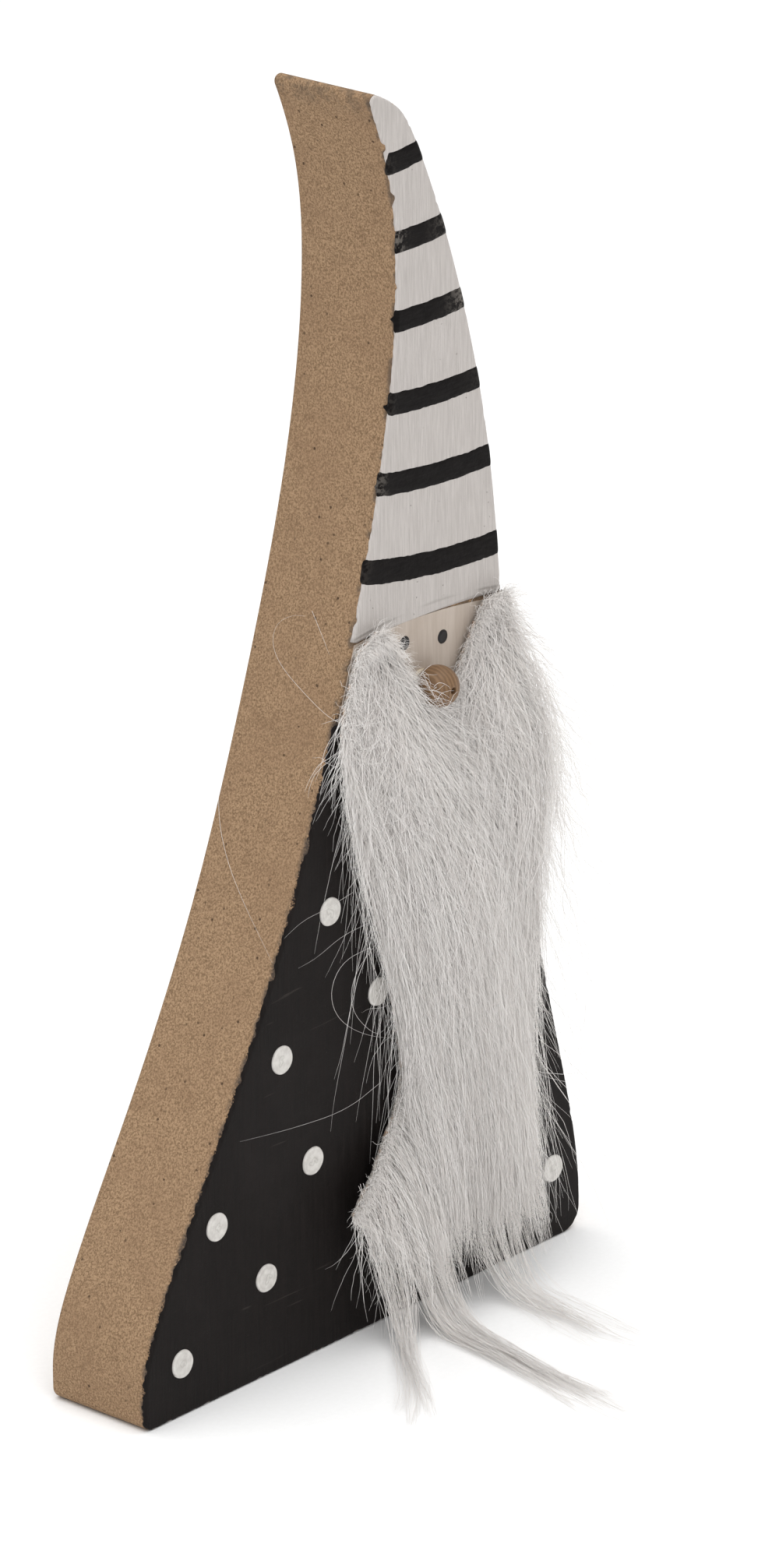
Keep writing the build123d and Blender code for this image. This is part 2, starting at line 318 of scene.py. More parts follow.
def make_fur_cloth():
    """The fur's base: a fine knit of off-white yarn, with tan yarn at its cut edge."""
    m = Material("fur_cloth", roughness=0.9, specular=0.1)
    m.shader.inputs["Sheen Weight"].default_value = 0.2
    loops = m.add("ShaderNodeTexWave", wave_type="BANDS", bands_direction="X")
    m.put(loops.inputs["Vector"], m.place)
    loops.inputs["Scale"].default_value = 620
    loops.inputs["Distortion"].default_value = 1.6
    rows = m.add("ShaderNodeTexWave", wave_type="BANDS", bands_direction="Z")
    m.put(rows.inputs["Vector"], m.place)
    rows.inputs["Scale"].default_value = 780
    rows.inputs["Distortion"].default_value = 1.2
    knit = m.math("MULTIPLY", loops.outputs["Fac"], rows.outputs["Fac"])
    fuzz = m.noise(2600, 4, 0.7)
    m.between(knit, 0.05, 0.6, (176, 168, 160), (214, 209, 204))
    m.tint(fuzz, 0.45, 0.7, 0.4, (226, 222, 218))
    tan = m.math("MULTIPLY", m.attribute("tan"), m.ramp(m.noise(500, 3, 0.6), 0.48, 0.7))
    m.cover(tan, (176, 138, 104))
    normal = m.bump(knit, 0.35)
    normal = m.bump(fuzz, 0.12, normal)
    return m.finish(m.ramp(fuzz, 0.3, 0.7, 0.82, 0.96), normal)


def make_fur():
    """Acrylic fibre. tone is one value per strand, and along runs from root to tip."""
    m = Material("fur_pile", roughness=0.42, specular=0.32)
    m.shader.inputs["Sheen Weight"].default_value = 0.55
    m.shader.inputs["Sheen Roughness"].default_value = 0.6
    along = m.attribute("along")
    m.colour = m.mix(m.attribute("tone"), srgb(236, 229, 224), srgb(255, 252, 249))
    # Painted shade: each strand darkens towards its root, deep in the pile.
    m.cover(m.ramp(along, 0.0, 0.35, 0.15, 0.0), (214, 206, 200))
    band = m.noise(220, 2, 0.5)
    m.tint(band, 0.45, 0.75, 0.18, (222, 215, 210))
    return m.finish(m.ramp(m.noise(900, 2, 0.5), 0.3, 0.7, 0.36, 0.5))


GLUE = make_glue()
FUR = make_fur()


# ---------------------------------------------------------------- mesh helpers
def make_object(name, points, faces, material, slot, values=None):
    """A smooth-shaded mesh from points in mm and a list of faces. It rides on the only body."""
    mesh = bpy.data.meshes.new(name)
    mesh.from_pydata([tuple(p) for p in np.asarray(points) * MM], [], faces)
    mesh.validate()
    return finish_object(mesh, material, values or {})


def finish_object(mesh, material, values):
    """Gives a mesh its smooth shading, values per point and material, and places it."""
    mesh.polygons.foreach_set("use_smooth", np.ones(len(mesh.polygons), bool))
    for key, value in values.items():
        layer = mesh.attributes.new(key, "FLOAT", "POINT")
        layer.data.foreach_set("value", np.asarray(value, np.float32).ravel())
    mesh.materials.append(material)
    obj = bpy.data.objects.new(mesh.name, mesh)
    bpy.context.scene.collection.objects.link(obj)
    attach(obj, "root")
    return obj


def paint_node(name, material):
    """Gives a CAD node that stays in view its material."""
    nodes[name].data.materials.clear()
    nodes[name].data.materials.append(material)


def face_outwards(obj, front=False):
    """Turns a skin's faces outwards, or those of an open sheet mostly towards the front."""
    work = bmesh.new()
    work.from_mesh(obj.data)
    bmesh.ops.recalc_face_normals(work, faces=work.faces)
    if front and sum(f.normal.y * f.calc_area() for f in work.faces) > 0:
        bmesh.ops.reverse_faces(work, faces=work.faces)
    work.to_mesh(obj.data)
    work.free()


def thick_sheet(obj, thickness, offset=-1.0):
    """Makes an open sheet that faces the front into a closed skin, thickness mm thick."""
    face_outwards(obj, front=True)
    solid = obj.modifiers.new("thickness", "SOLIDIFY")
    solid.thickness = thickness * MM
    solid.offset = offset


def grid_faces(rows, columns, first=0, loop=False):
    """Quads between neighbouring rows of points. loop joins the last column to the first."""
    at = first + np.arange(rows * columns).reshape(rows, columns)
    if loop:
        at = np.concatenate([at, at[:, :1]], 1)
    quads = np.stack([at[:-1, :-1], at[:-1, 1:], at[1:, 1:], at[1:, :-1]], -1)
    return [tuple(q) for q in quads.reshape(-1, 4).tolist()]


def waves(count, longest, shortest, generator):
    """A smooth random function of one length in mm, about -1 to 1."""
    size = np.exp(generator.uniform(math.log(shortest), math.log(longest), count))
    phase = generator.uniform(0, 2 * math.pi, count)
    share = np.sqrt(size / longest)
    share /= np.sqrt((share**2).sum() / 2)

    def value(s):
        s = np.asarray(s, float)
        return (share * np.sin(2 * math.pi * s[..., None] / size + phase)).sum(-1) * 0.6

    return value


# ---------------------------------------------------------------- board outline
def board_outline():
    """The board's side wall seen from the front: a closed line of (x, z) points in mm."""
    work = bmesh.new()
    work.from_mesh(nodes["board"].data)
    bmesh.ops.remove_doubles(work, verts=work.verts, dist=1e-6)
    seam = (FRONT_Y + ARRIS) * MM
    on_seam = {v for v in work.verts if abs(v.co.y - seam) < 2e-5}
    links = {}
    for edge in work.edges:
        a, b = edge.verts
        if a in on_seam and b in on_seam:
            links.setdefault(a, []).append(b)
            links.setdefault(b, []).append(a)
    start = min(links, key=lambda v: v.co.z * 1000 + v.co.x)
    line, before, here = [start], None, start
    while True:
        following = [v for v in links[here] if v is not before and v not in line[1:]]
        if not following or (following[0] is start and len(line) > 2):
            break
        before, here = here, following[0]
        line.append(here)
    points = np.array([(v.co.x / MM, v.co.z / MM) for v in line])
    work.free()
    return points


def resample(points, step):
    """The same closed line with points that are step apart."""
    points = np.vstack([points, points[:1]])
    gaps = np.hypot(*np.diff(points, axis=0).T)
    run = np.concatenate([[0], np.cumsum(gaps)])
    at = np.linspace(0, run[-1], int(round(run[-1] / step)) + 1)[:-1]
    return np.stack([np.interp(at, run, points[:, i]) for i in (0, 1)], -1)


OUTLINE_STEP = 0.5
OUTLINE = resample(board_outline(), OUTLINE_STEP)
ahead = np.roll(OUTLINE, -3, 0) - np.roll(OUTLINE, 3, 0)
ahead /= np.linalg.norm(ahead, axis=1, keepdims=True)
OUTWARD = np.stack([ahead[:, 1], -ahead[:, 0]], -1)
if (OUTWARD * (OUTLINE - OUTLINE.mean(0))).sum() < 0:
    OUTWARD = -OUTWARD
INSET = OUTLINE - OUTWARD * ARRIS


def on_board(index, beyond, height):
    """Points on the board's front and arris. beyond is the length along the surface, past the edge
    of the flat front at outline point index, and height is the film's thickness there."""
    centre, out = INSET[index], OUTWARD[index]
    beyond, height = np.broadcast_arrays(np.asarray(beyond, float), np.asarray(height, float))
    turn = np.clip(beyond / ARRIS, 0, math.pi / 2)
    reach = np.where(beyond < 0, beyond, (ARRIS + height) * np.sin(turn))
    y = FRONT_Y + ARRIS - (ARRIS + height) * np.cos(turn)
    y = y + np.clip(beyond - ARRIS * math.pi / 2, 0, None)
    xz = centre + out * reach[..., None]
    return np.stack([xz[..., 0], y, xz[..., 1]], -1)


def past_edge(points):
    """The nearest point of the flat front's edge, and how far each point lies past it."""
    gap = ((points[:, None] - INSET[None]) ** 2).sum(-1)
    nearest = gap.argmin(1)
    return nearest, ((points - INSET[nearest]) * OUTWARD[nearest]).sum(-1)


def lay_on_board(x, z, height):
    """Points on the board for places (x, z) that may run past the edge of its flat front."""
    flat = np.stack([x, z], -1).reshape(-1, 2)
    high = np.broadcast_to(height, np.shape(x)).reshape(-1)
    nearest, beyond = past_edge(flat)
    aside = flat - INSET[nearest] - OUTWARD[nearest] * beyond[:, None]
    made = on_board(nearest, beyond, high)
    made[:, 0] += aside[:, 0]
    made[:, 2] += aside[:, 1]
    on_flat = beyond < 0
    made[on_flat] = np.stack([flat[:, 0], FRONT_Y - high, flat[:, 1]], -1)[on_flat]
    return made.reshape(*np.shape(x), 3)


# ---------------------------------------------------------------- paint coats
def hem_line(x):
    """Height of the hat's hem over the face at x."""
    radius, middle_x, top = 348.0, 13.7, 146.6
    return top - radius + np.sqrt(radius**2 - (np.asarray(x, float) - middle_x) ** 2)


def outline_run(wanted):
    """The outline indices that are wanted, in order round the board, as one run."""
    start = int(np.flatnonzero(wanted & ~np.roll(wanted, 1))[0])
    run = [(start + i) % len(wanted) for i in range(int(wanted.sum()))]
    return np.array(run)


STRIP_START = -0.5


def paint_coat(name, node, wanted, closing_line, film, reach, material, slot):
    """A film over the front up to closing_line, wrapped round the arris to a ragged end."""
    run = outline_run(wanted)
    shares = np.concatenate([[STRIP_START, -0.25, 0.0], np.linspace(0.12, 1.0, 9)])
    rows = []
    for share in shares:
        beyond = np.where(share > 0, share * reach(run * OUTLINE_STEP), share)
        end = np.clip((share - 0.45) / 0.55, 0, 1) ** 2
        height = film * (1 - end) - 0.06 * end
        rows.append(on_board(run, beyond, height))
    strip = np.concatenate(rows)
    inner = rows[0][:, (0, 2)]
    a, b = inner[-1], inner[0]
    t = np.linspace(0, 1, 62)[1:-1]
    x = a[0] + (b[0] - a[0]) * t
    z = closing_line(x)
    extra = np.stack([x, np.full_like(x, FRONT_Y - film), z], -1)
    points = np.concatenate([strip, extra])
    ring = list(range(len(run))) + list(range(len(strip), len(points)))
    flat = [[(points[i][0], points[i][2], 0.0) for i in ring]]
    faces = [tuple(ring[i] for i in f) for f in tessellate_polygon(flat)]
    faces += grid_faces(len(shares), len(run))
    obj = make_object(name, points, faces, material, slot)
    thick_sheet(obj, 0.12)
    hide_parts(node)


def ragged_reach(middle, swing, fine, chips, generator):
    """How far a coat's paint runs round the arris, in mm along the surface."""
    slow = waves(14, 90, 25, generator)
    quick = waves(30, 5, 1.2, generator)
    gaps = waves(20, 16, 2.5, generator)

    def reach(s):
        value = middle + swing * slow(s) + fine * quick(s)
        value = value - chips * np.clip(gaps(s) - 0.55, 0, 1) * 3
        return np.clip(value, 0.25, 2.6)

    return reach


left_of_middle = OUTLINE[:, 0] < 20
hat_wanted = OUTLINE[:, 1] > np.where(left_of_middle, hem_line(-5.0), hem_line(41.0)) + 0.1
paint_coat(
    "hat_paint_coat",
    "hat_paint",
    hat_wanted,
    hem_line,
    0.2,
    ragged_reach(0.95, 0.07, 0.07, 0.35, np.random.default_rng(3)),
    make_hat_white(),
    "hat_white",
)
COAT_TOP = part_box("coat_paint")[1].z / MM
paint_coat(
    "coat_paint_coat",
    "coat_paint",
    OUTLINE[:, 1] < COAT_TOP,
    lambda x: np.full_like(x, COAT_TOP),
    0.2,
    ragged_reach(0.95, 0.12, 0.26, 0.35, np.random.default_rng(5)),
    make_coat_black(),
    "coat_black",
)
paint_node("face_paint", make_face_beige())
paint_node("board", make_mdf())


# ---------------------------------------------------------------- hat bands
def circle_through(a, b, c):
    """Centre and radius of the circle through three points."""
    rows = np.array([[b[0] - a[0], b[1] - a[1]], [c[0] - a[0], c[1] - a[1]]]) * 2
    right = [
        b[0] ** 2 - a[0] ** 2 + b[1] ** 2 - a[1] ** 2,
        c[0] ** 2 - a[0] ** 2 + c[1] ** 2 - a[1] ** 2,
    ]
    centre = np.linalg.solve(rows, right)
    return centre, math.hypot(a[0] - centre[0], a[1] - centre[1])


# Each band: three points of its centre line, width, overrun and rounding at the left end, how far
# the paint drip there stands out, at what share of the half width, wear at the left and right ends.
BANDS = [
    ((6.0, 240.2), (13.0, 240.5), (20.5, 241.8), 4.6, 0.9, 0.3, 0.0, 0.0, 0.1, 0.0),
    ((8.0, 224.3), (17.5, 224.3), (27.5, 225.4), 4.7, 0.9, 0.3, 0.0, 0.0, 0.6, 0.35),
    ((7.5, 208.5), (20.0, 208.2), (33.0, 209.1), 4.6, 1.0, 0.4, 0.8, 0.2, 0.0, 0.8),
    ((6.0, 192.4), (21.0, 191.2), (38.0, 191.7), 4.7, 1.0, 0.5, 1.0, -0.45, 0.1, 0.1),
    ((3.0, 176.9), (21.0, 174.8), (41.0, 174.8), 4.8, 1.2, 0.5, 0.4, -0.3, 0.4, 0.0),
    ((-2.0, 160.4), (20.0, 156.8), (43.5, 156.1), 5.2, 1.4, 1.4, 0.0, 0.0, 0.1, 0.0),
]
DRIP_SPREAD = 0.24
OVER_RIGHT = 2.2


def band_mesh(band, seed):
    """Points, faces and wear of one brushed band, with rounded ends that run over the arris."""
    left, middle, right, width, over_left, cap, drip, drip_at, wear_left, wear_right = band
    generator = np.random.default_rng(seed)
    centre, radius = circle_through(left, middle, right)
    angles = [math.atan2(p[1] - centre[1], p[0] - centre[0]) for p in (left, right)]
    around = np.linspace(angles[0], angles[1], 500)
    line = centre + radius * np.stack([np.cos(around), np.sin(around)], -1)
    _, beyond = past_edge(line)
    half = len(line) // 2
    first = np.interp(-over_left, -beyond[:half], around[:half])
    last = np.interp(OVER_RIGHT, beyond[half:], around[half:])
    columns = 150
    ease = 0.5 - 0.5 * np.cos(np.linspace(0, math.pi, columns))
    share = 0.35 * np.linspace(0, 1, columns) + 0.65 * ease
    length = radius * abs(last - first)
    along = share * length
    ends = np.minimum(along, (length - along) * 4)
    from_left = np.clip(along / cap, 0, 1)
    round_off = 1 - 0.42 * (1 - np.sqrt(np.clip(1 - (1 - from_left) ** 2, 0, 1)))
    across = np.array([-1, -0.97, -0.9, -0.78, -0.64, -0.5, -0.35, -0.2, -0.05])
    across = np.concatenate([across, [0.1, 0.25, 0.4, 0.55, 0.68, 0.78, 0.9, 0.97, 1.0]])
    rows, worn = [], []
    edges = [waves(16, 14, 1.2, generator) for _ in range(2)]
    for t in across:
        wobble = 0.09 * edges[int(t > 0)](along)
        reach = t * (width / 2 + wobble) * round_off
        r = radius + (reach if centre[1] < middle[1] else -reach)
        out = drip * math.exp(-(((t - drip_at) / DRIP_SPREAD) ** 2)) / length
        around = first + (last - first) * (share - out * (1 - share) ** 40)
        xz = centre + r[:, None] * np.stack([np.cos(around), np.sin(around)], -1)
        top = (1 - abs(t) ** 5) * np.clip(ends / 0.5, 0, 1)
        height = 0.17 + 0.15 * top
        rows.append(lay_on_board(xz[:, 0], xz[:, 1], height))
        worn.append(
            wear_left * np.exp(-((along / 2.4) ** 2))
            + wear_right * np.exp(-(((length - along) / 4.5) ** 2))
        )
    return np.concatenate(rows), grid_faces(len(across), columns), np.concatenate(worn)


points, faces, worn = [], [], []
for number, band in enumerate(BANDS):
    made = band_mesh(band, 20 + number)
    start = sum(len(p) for p in points)
    points.append(made[0])
    faces += [tuple(start + i for i in f) for f in made[1]]
    worn.append(made[2])
bands = make_object(
    "hat_bands",
    np.concatenate(points),
    faces,
    make_band_black(),
    "band_black",
    values={"wear": np.clip(np.concatenate(worn), 0, 1)},
)
thick_sheet(bands, 0.1)
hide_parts("hat_stripes")

# ---------------------------------------------------------------- dots and eyes
DOTS = [(-10.6, 92.8), (-25.1, 66.0), (-16.4, 41.7), (-44.5, 36.9), (-30.4, 21.2), (-55.0, 11.3)]
DOTS += [(3.4, 71.6), (56.8, 15.8)]
HIDDEN_DOTS = [(20.0, 44.0), (34.0, 68.0), (39.0, 24.0), (12.0, 16.0)]
DOT_RADIUS = 2.95
EYES = [(12.0, 142.3), (23.3, 140.6)]
EYE_RADIUS = 1.45


def nearest_gap(x, z, line):
    """Distance from each point to a line of straight pieces."""
    best = np.full(np.shape(x), 1e9)
    for (ax, az), (bx, bz) in zip(line[:-1], line[1:]):
        dx, dz = bx - ax, bz - az
        t = np.clip(((x - ax) * dx + (z - az) * dz) / (dx * dx + dz * dz + 1e-9), 0, 1)
        best = np.minimum(best, np.hypot(x - ax - dx * t, z - az - dz * t))
    return best


def drops(places, radius, rings, turns, profile, generator):
    """Round drops of paint as polar grids. profile gives height and painted groove shade from x, z
    and radius.
    """
    points, faces, groove_shades = [], [], []
    angle = np.linspace(0, 2 * math.pi, turns, endpoint=False)
    for x0, z0 in places:
        rim = radius * (1 + 0.012 * np.sin(2 * angle + generator.uniform(0, 6)))
        rim = rim + radius * 0.008 * np.sin(5 * angle + generator.uniform(0, 6))
        height_at = profile(generator)
        start = sum(len(p) for p in points)
        rows = []
        for share in rings:
            dx, dz = share * rim * np.cos(angle), share * rim * np.sin(angle)
            height, groove = height_at(dx, dz, np.full(turns, share))
            rows.append(np.stack([x0 + dx, PAINTED_Y - height, z0 + dz], -1))
            groove_shades.append(groove)
        points.append(np.concatenate(rows))
        faces += grid_faces(len(rings), turns, start, loop=True)
        points.append(np.array([[x0, rows[0][:, 1].mean(), z0]]))
        groove_shades.append(np.zeros(1))
        hub = start + len(rings) * turns
        faces += [(hub, start + (i + 1) % turns, start + i) for i in range(turns)]
    return np.concatenate(points), faces, np.concatenate(groove_shades)


def dot_profile(generator):
    """A stamped dot: a flat dab with a raised rim ring and a small curl where the stamp let go."""
    turn, size = generator.uniform(0, 2 * math.pi), generator.uniform(0.75, 1.15)
    curl = np.array([(-0.75, 0.1), (-0.35, -0.45), (0.1, -0.1), (0.0, 0.45), (0.55, 0.3)])
    curl = curl * size + generator.normal(0, 0.12, curl.shape)
    spin = np.array([[math.cos(turn), -math.sin(turn)], [math.sin(turn), math.cos(turn)]])
    curl = curl @ spin.T + generator.normal(0, 0.2, 2)
    depth = generator.uniform(0.6, 1.2)

    def height(x, z, share):
        edge = np.clip((1 - share) / 0.09, 0, 1)
        base = 0.44 * np.sqrt(np.clip(1 - (1 - edge) ** 2, 0, 1)) - 0.03
        ring = np.exp(-(((share - 0.86) / 0.05) ** 2))
        trough = np.exp(-(((share - 0.74) / 0.06) ** 2))
        gap = nearest_gap(x, z, curl)
        mark = np.exp(-((gap / 0.16) ** 2))
        beside = np.exp(-(((gap - 0.33) / 0.13) ** 2))
        high = base + 0.025 * ring - 0.015 * trough * depth + 0.07 * mark * depth
        # The second value is painted shade, darkest in the groove beside the curl and in the
        # trough.
        return high - 0.05 * beside, np.clip(0.6 * beside + 0.15 * trough * depth, 0, 1)

    return height


def eye_profile(generator):
    def height(x, z, share):
        dome = 0.32 * np.sqrt(np.clip(1 - share**2.4, 0, 1)) - 0.02
        return dome + 0.03 * np.exp(-(((share - 0.7) / 0.2) ** 2)), np.zeros_like(share)

    return height


dot_rings = np.concatenate([np.linspace(0.05, 0.9, 22), [0.93, 0.955, 0.975, 0.99, 1.0]])
made = drops(DOTS + HIDDEN_DOTS, DOT_RADIUS, dot_rings, 72, dot_profile, np.random.default_rng(8))
dots = make_object(
    "coat_dot_drops", *made[:2], make_dot_white(), "dot_white", {"groove": made[2]}
)
thick_sheet(dots, 0.08)
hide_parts("coat_dots")
eye_rings = np.concatenate([np.linspace(0.1, 0.9, 10), [0.95, 0.98, 1.0]])
made = drops(EYES, EYE_RADIUS, eye_rings, 40, eye_profile, np.random.default_rng(9))
eyes = make_object("eye_drops", made[0], made[1], make_eye_black(), "eye_black")
thick_sheet(eyes, 0.08)
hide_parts("eyes")

# ---------------------------------------------------------------- bead nose and glue
bead_low, bead_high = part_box("nose_bead")
BEAD_X = (bead_low.x + bead_high.x) / 2 / MM
BEAD_Z = (bead_low.z + bead_high.z) / 2 / MM
BEAD_Y = -17.25
BEAD_RADIUS = 4.3
HOLE_RADIUS = 0.7
RIM_WIDTH = 0.28
RIM_DEPTH = 0.22


def bead():
    """A turned bead as a lathed shell: outside, softened hole rims and bore."""
    first = math.asin((HOLE_RADIUS + RIM_WIDTH) / BEAD_RADIUS)
    profile = []
    for a in np.linspace(first, math.pi - first, 60):
        profile.append((BEAD_RADIUS * math.sin(a), -BEAD_RADIUS * math.cos(a)))
    depth = profile[-1][1]
    rim = []
    for a in np.linspace(0.25, 1, 5):
        radius = HOLE_RADIUS + RIM_WIDTH * (1 - math.sin(a * math.pi / 2))
        rim.append((radius, depth - RIM_DEPTH * a * a))
    profile += rim + [(HOLE_RADIUS, y) for y in np.linspace(depth - 0.6, 0.6 - depth, 14)]
    profile += [(radius, -y) for radius, y in reversed(rim)]
    turns = 96
    angle = np.linspace(0, 2 * math.pi, turns, endpoint=False)
    out = waves(8, 2 * math.pi * BEAD_RADIUS, 6, np.random.default_rng(31))
    rows = []
    for radius, y in profile:
        wide = radius * (1 + 0.006 * out(angle * BEAD_RADIUS) * (radius > 1))
        x, z = BEAD_X + wide * np.cos(angle), BEAD_Z + wide * np.sin(angle)
        rows.append(np.stack([x, np.full(turns, BEAD_Y + y), z], -1))
    last = (len(rows) - 1) * turns
    following = [(j + 1) % turns for j in range(turns)]
    closing = [(last + j, last + k, k, j) for j, k in enumerate(following)]
    return np.concatenate(rows), grid_faces(len(rows), turns, loop=True) + closing


nose = make_object("nose_wooden_bead", *bead(), make_bead_wood(), "bead_wood")
face_outwards(nose)
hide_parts("nose_bead")
paint_node("nose_glue", GLUE)
paint_node("beard_glue", GLUE)


# ---------------------------------------------------------------- backing cloth
def curve_through(points, step):
    """A smooth line through the points, as places about step apart."""
    p = np.array(points, float)
    before = np.vstack([2 * p[0] - p[1], p[:-1]])
    after = np.vstack([p[1:], 2 * p[-1] - p[-2]])
    out = []
    for i in range(len(p) - 1):
        a, b, c, d = before[i], p[i], p[i + 1], after[i + 1]
        count = max(2, int(np.hypot(*(c - b)) / step))
        for t in np.linspace(0, 1, count, endpoint=False):
            bend = (2 * a - 5 * b + 4 * c - d) * t**2 + (3 * b - a - 3 * c + d) * t**3
            out.append(0.5 * (2 * b + (c - a) * t + bend))
    return np.array(out)


CLOTH_TOP_LEFT = (-3.6, 144.4)
CLOTH_LEFT_LOBE = (2.6, 147.4)
CLOTH_NOTCH = [(9.5, 138.5), (13.0, 129.5), (18.0, 126.8), (24.0, 130.0), (28.4, 137.0)]
CLOTH_RIGHT_LOBE = (34.2, 145.4)
CLOTH_TOP_RIGHT = (40.0, 146.0)
CLOTH_RIGHT_EDGE = [(42.6, 118.0), (42.0, 82.0), (41.0, 48.0)]
CLOTH_LOW_RIGHT = (43.6, 17.0)
CLOTH_LOW_EDGE = [(24.0, 16.0), (4.0, 19.0)]
CLOTH_CORNER = (-11.2, 29.2)
CLOTH_LEFT_EDGE = [(-1.0, 38.5), (8.0, 52.0), (4.6, 76.0), (-4.0, 108.0), (-8.0, 128.0)]
CLOTH_THICKNESS = 1.0
CLOTH_BEND_TOP = 62.0
CLOTH_LIFT = 5.0
CORNER_FLARE = 2.6
EDGE_STEP = 0.9
TAN_WIDTH = 0.9

CLOTH_RUNS = [
    [CLOTH_TOP_LEFT, CLOTH_LEFT_LOBE],
    [CLOTH_LEFT_LOBE, *CLOTH_NOTCH, CLOTH_RIGHT_LOBE],
    [CLOTH_RIGHT_LOBE, CLOTH_TOP_RIGHT],
    [CLOTH_TOP_RIGHT, *CLOTH_RIGHT_EDGE, CLOTH_LOW_RIGHT],
    [CLOTH_LOW_RIGHT, *CLOTH_LOW_EDGE, CLOTH_CORNER],
    [CLOTH_CORNER, *CLOTH_LEFT_EDGE, CLOTH_TOP_LEFT],
]
cloth_edge = np.concatenate([curve_through(run, EDGE_STEP) for run in CLOTH_RUNS])


def smooth(t):
    t = np.clip(t, 0, 1)
    return t * t * (3 - 2 * t)


def cloth_y(x, z):
    """The cloth's middle surface: flat where it is glued, then leaning out, its corner flared."""
    lean = CLOTH_LIFT * np.clip((CLOTH_BEND_TOP - z) / (CLOTH_BEND_TOP - 4.0), 0, None) ** 2
    off_corner = np.hypot(x - CLOTH_CORNER[0], z - CLOTH_CORNER[1])
    flare = CORNER_FLARE * smooth(1 - off_corner / 24.0)
    ripple = 0.35 * np.sin(x * 0.23 + 1.0) * smooth((90 - z) / 60)
    return CLOTH_Y - CLOTH_THICKNESS / 2 - lean - flare - ripple - 0.3 * smooth((90 - z) / 60)


def inside(x, z, polygon):
    """True for the points that lie inside the closed line."""
    hit = np.zeros(np.shape(x), bool)
    ax, az = polygon[:, 0], polygon[:, 1]
    bx, bz = np.roll(ax, -1), np.roll(az, -1)
    for i in range(len(polygon)):
        crosses = (az[i] > z) != (bz[i] > z)
        if az[i] != bz[i]:
            at = ax[i] + (z - az[i]) * (bx[i] - ax[i]) / (bz[i] - az[i])
            hit ^= crosses & (x < at)
    return hit


def edge_gap(places, edge):
    """Distance from each place to the nearest point of the edge."""
    return np.array([np.hypot(*(edge - place).T).min() for place in places])


def backing():
    """The cloth as one thin sheet with a slightly wandering cut edge."""
    generator = np.random.default_rng(12)
    edge = cloth_edge + generator.normal(0, 0.13, cloth_edge.shape)
    gx, gz = np.meshgrid(np.arange(-12, 46, 1.5), np.arange(8, 149, 1.5))
    gx = gx + generator.uniform(-0.2, 0.2, gx.shape)
    gz = gz + generator.uniform(-0.2, 0.2, gz.shape)
    grid = np.stack([gx.ravel(), gz.ravel()], -1)
    grid = grid[inside(grid[:, 0], grid[:, 1], edge)]
    flat = np.concatenate([edge, grid[edge_gap(grid, edge) > 0.8]])
    count = len(edge)
    rim = [(i, (i + 1) % count) for i in range(count)]
    made = delaunay_2d_cdt([Vector(p) for p in flat], rim, [], 1, 1e-5)
    flat = np.array([tuple(v) for v in made[0]])
    points = np.stack([flat[:, 0], cloth_y(flat[:, 0], flat[:, 1]), flat[:, 1]], -1)
    tan = np.clip(1 - edge_gap(flat, edge) / TAN_WIDTH, 0, 1)
    faces = [tuple(f) for f in made[2]]
    obj = make_object("beard_cloth", points, faces, make_fur_cloth(), "fur_cloth", {"tan": tan})
    thick_sheet(obj, 0.8, 0.0)
    return obj


cloth = backing()
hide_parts("beard_backing")


# ---------------------------------------------------------------- fur
FLOW_U = [0.0, 0.25, 0.5, 0.75, 1.0]
FLOW_Z = [146.0, 130.0, 115.0, 100.0, 80.0, 60.0, 45.0, 25.0, 5.0]
# Degrees from straight down towards +X, by place across the beard and height.
FLOW = np.array(
    [
        [-24, 2, 10, 22, 38],
        [-8, 2, 14, 12, 22],
        [10, 12, 17, 9, 4],
        [18, 16, 16, 7, -1],
        [21, 17, 13, 4, -5],
        [17, 13, 9, 2, -3],
        [6, 9, 6, 1, -1],
        [12, 7, 4, 0, 0],
        [16, 7, 3, -2, 0],
    ],
    float,
)
LEFT_Z = [0, 14, 29, 38, 52, 78, 108, 128, 147]
LEFT_X = [-4, -7, -11, -2, 7, 1, -5, -8.5, -4]
RIGHT_Z = [0, 13, 48, 82, 118, 147]
RIGHT_X = [44, 44, 42, 43, 44, 40]
DEPTH_Z = [0, 20, 50, 80, 105, 122, 135, 143, 150]
DEPTH = [8.5, 8.5, 8.5, 9.0, 10.5, 10.5, 7.5, 4.5, 3.0]


def across_share(x, z):
    left = np.interp(z, LEFT_Z, LEFT_X)
    right = np.interp(z, RIGHT_Z, RIGHT_X)
    return (x - left) / (right - left)


def table_value(table, u, z):
    """Reads a table by place across and height, with straight lines between its entries."""
    u = np.clip(u, 0, 1) * (len(FLOW_U) - 1)
    column = np.clip(np.floor(u).astype(int), 0, len(FLOW_U) - 2)
    part = u - column
    heights = np.array(FLOW_Z)[::-1]
    z = np.clip(z, heights[0], heights[-1])
    row = np.clip(np.searchsorted(heights, z) - 1, 0, len(heights) - 2)
    up = (z - heights[row]) / (heights[row + 1] - heights[row])
    table = table[::-1]
    low = table[row, column] * (1 - part) + table[row, column + 1] * part
    high = table[row + 1, column] * (1 - part) + table[row + 1, column + 1] * part
    return low * (1 - up) + high * up


swirl = [waves(10, 60, 9, np.random.default_rng(60 + i)) for i in range(3)]


def flow_angle(x, z):
    """Direction of the fur's lie at a place, in radians from straight down towards +X."""
    base = table_value(FLOW, across_share(x, z), z)
    sway = 3.2 * swirl[0](x * 0.9 + z * 0.35) + 2.0 * swirl[1](z * 0.6 - x * 0.5)
    return np.radians(base + sway)


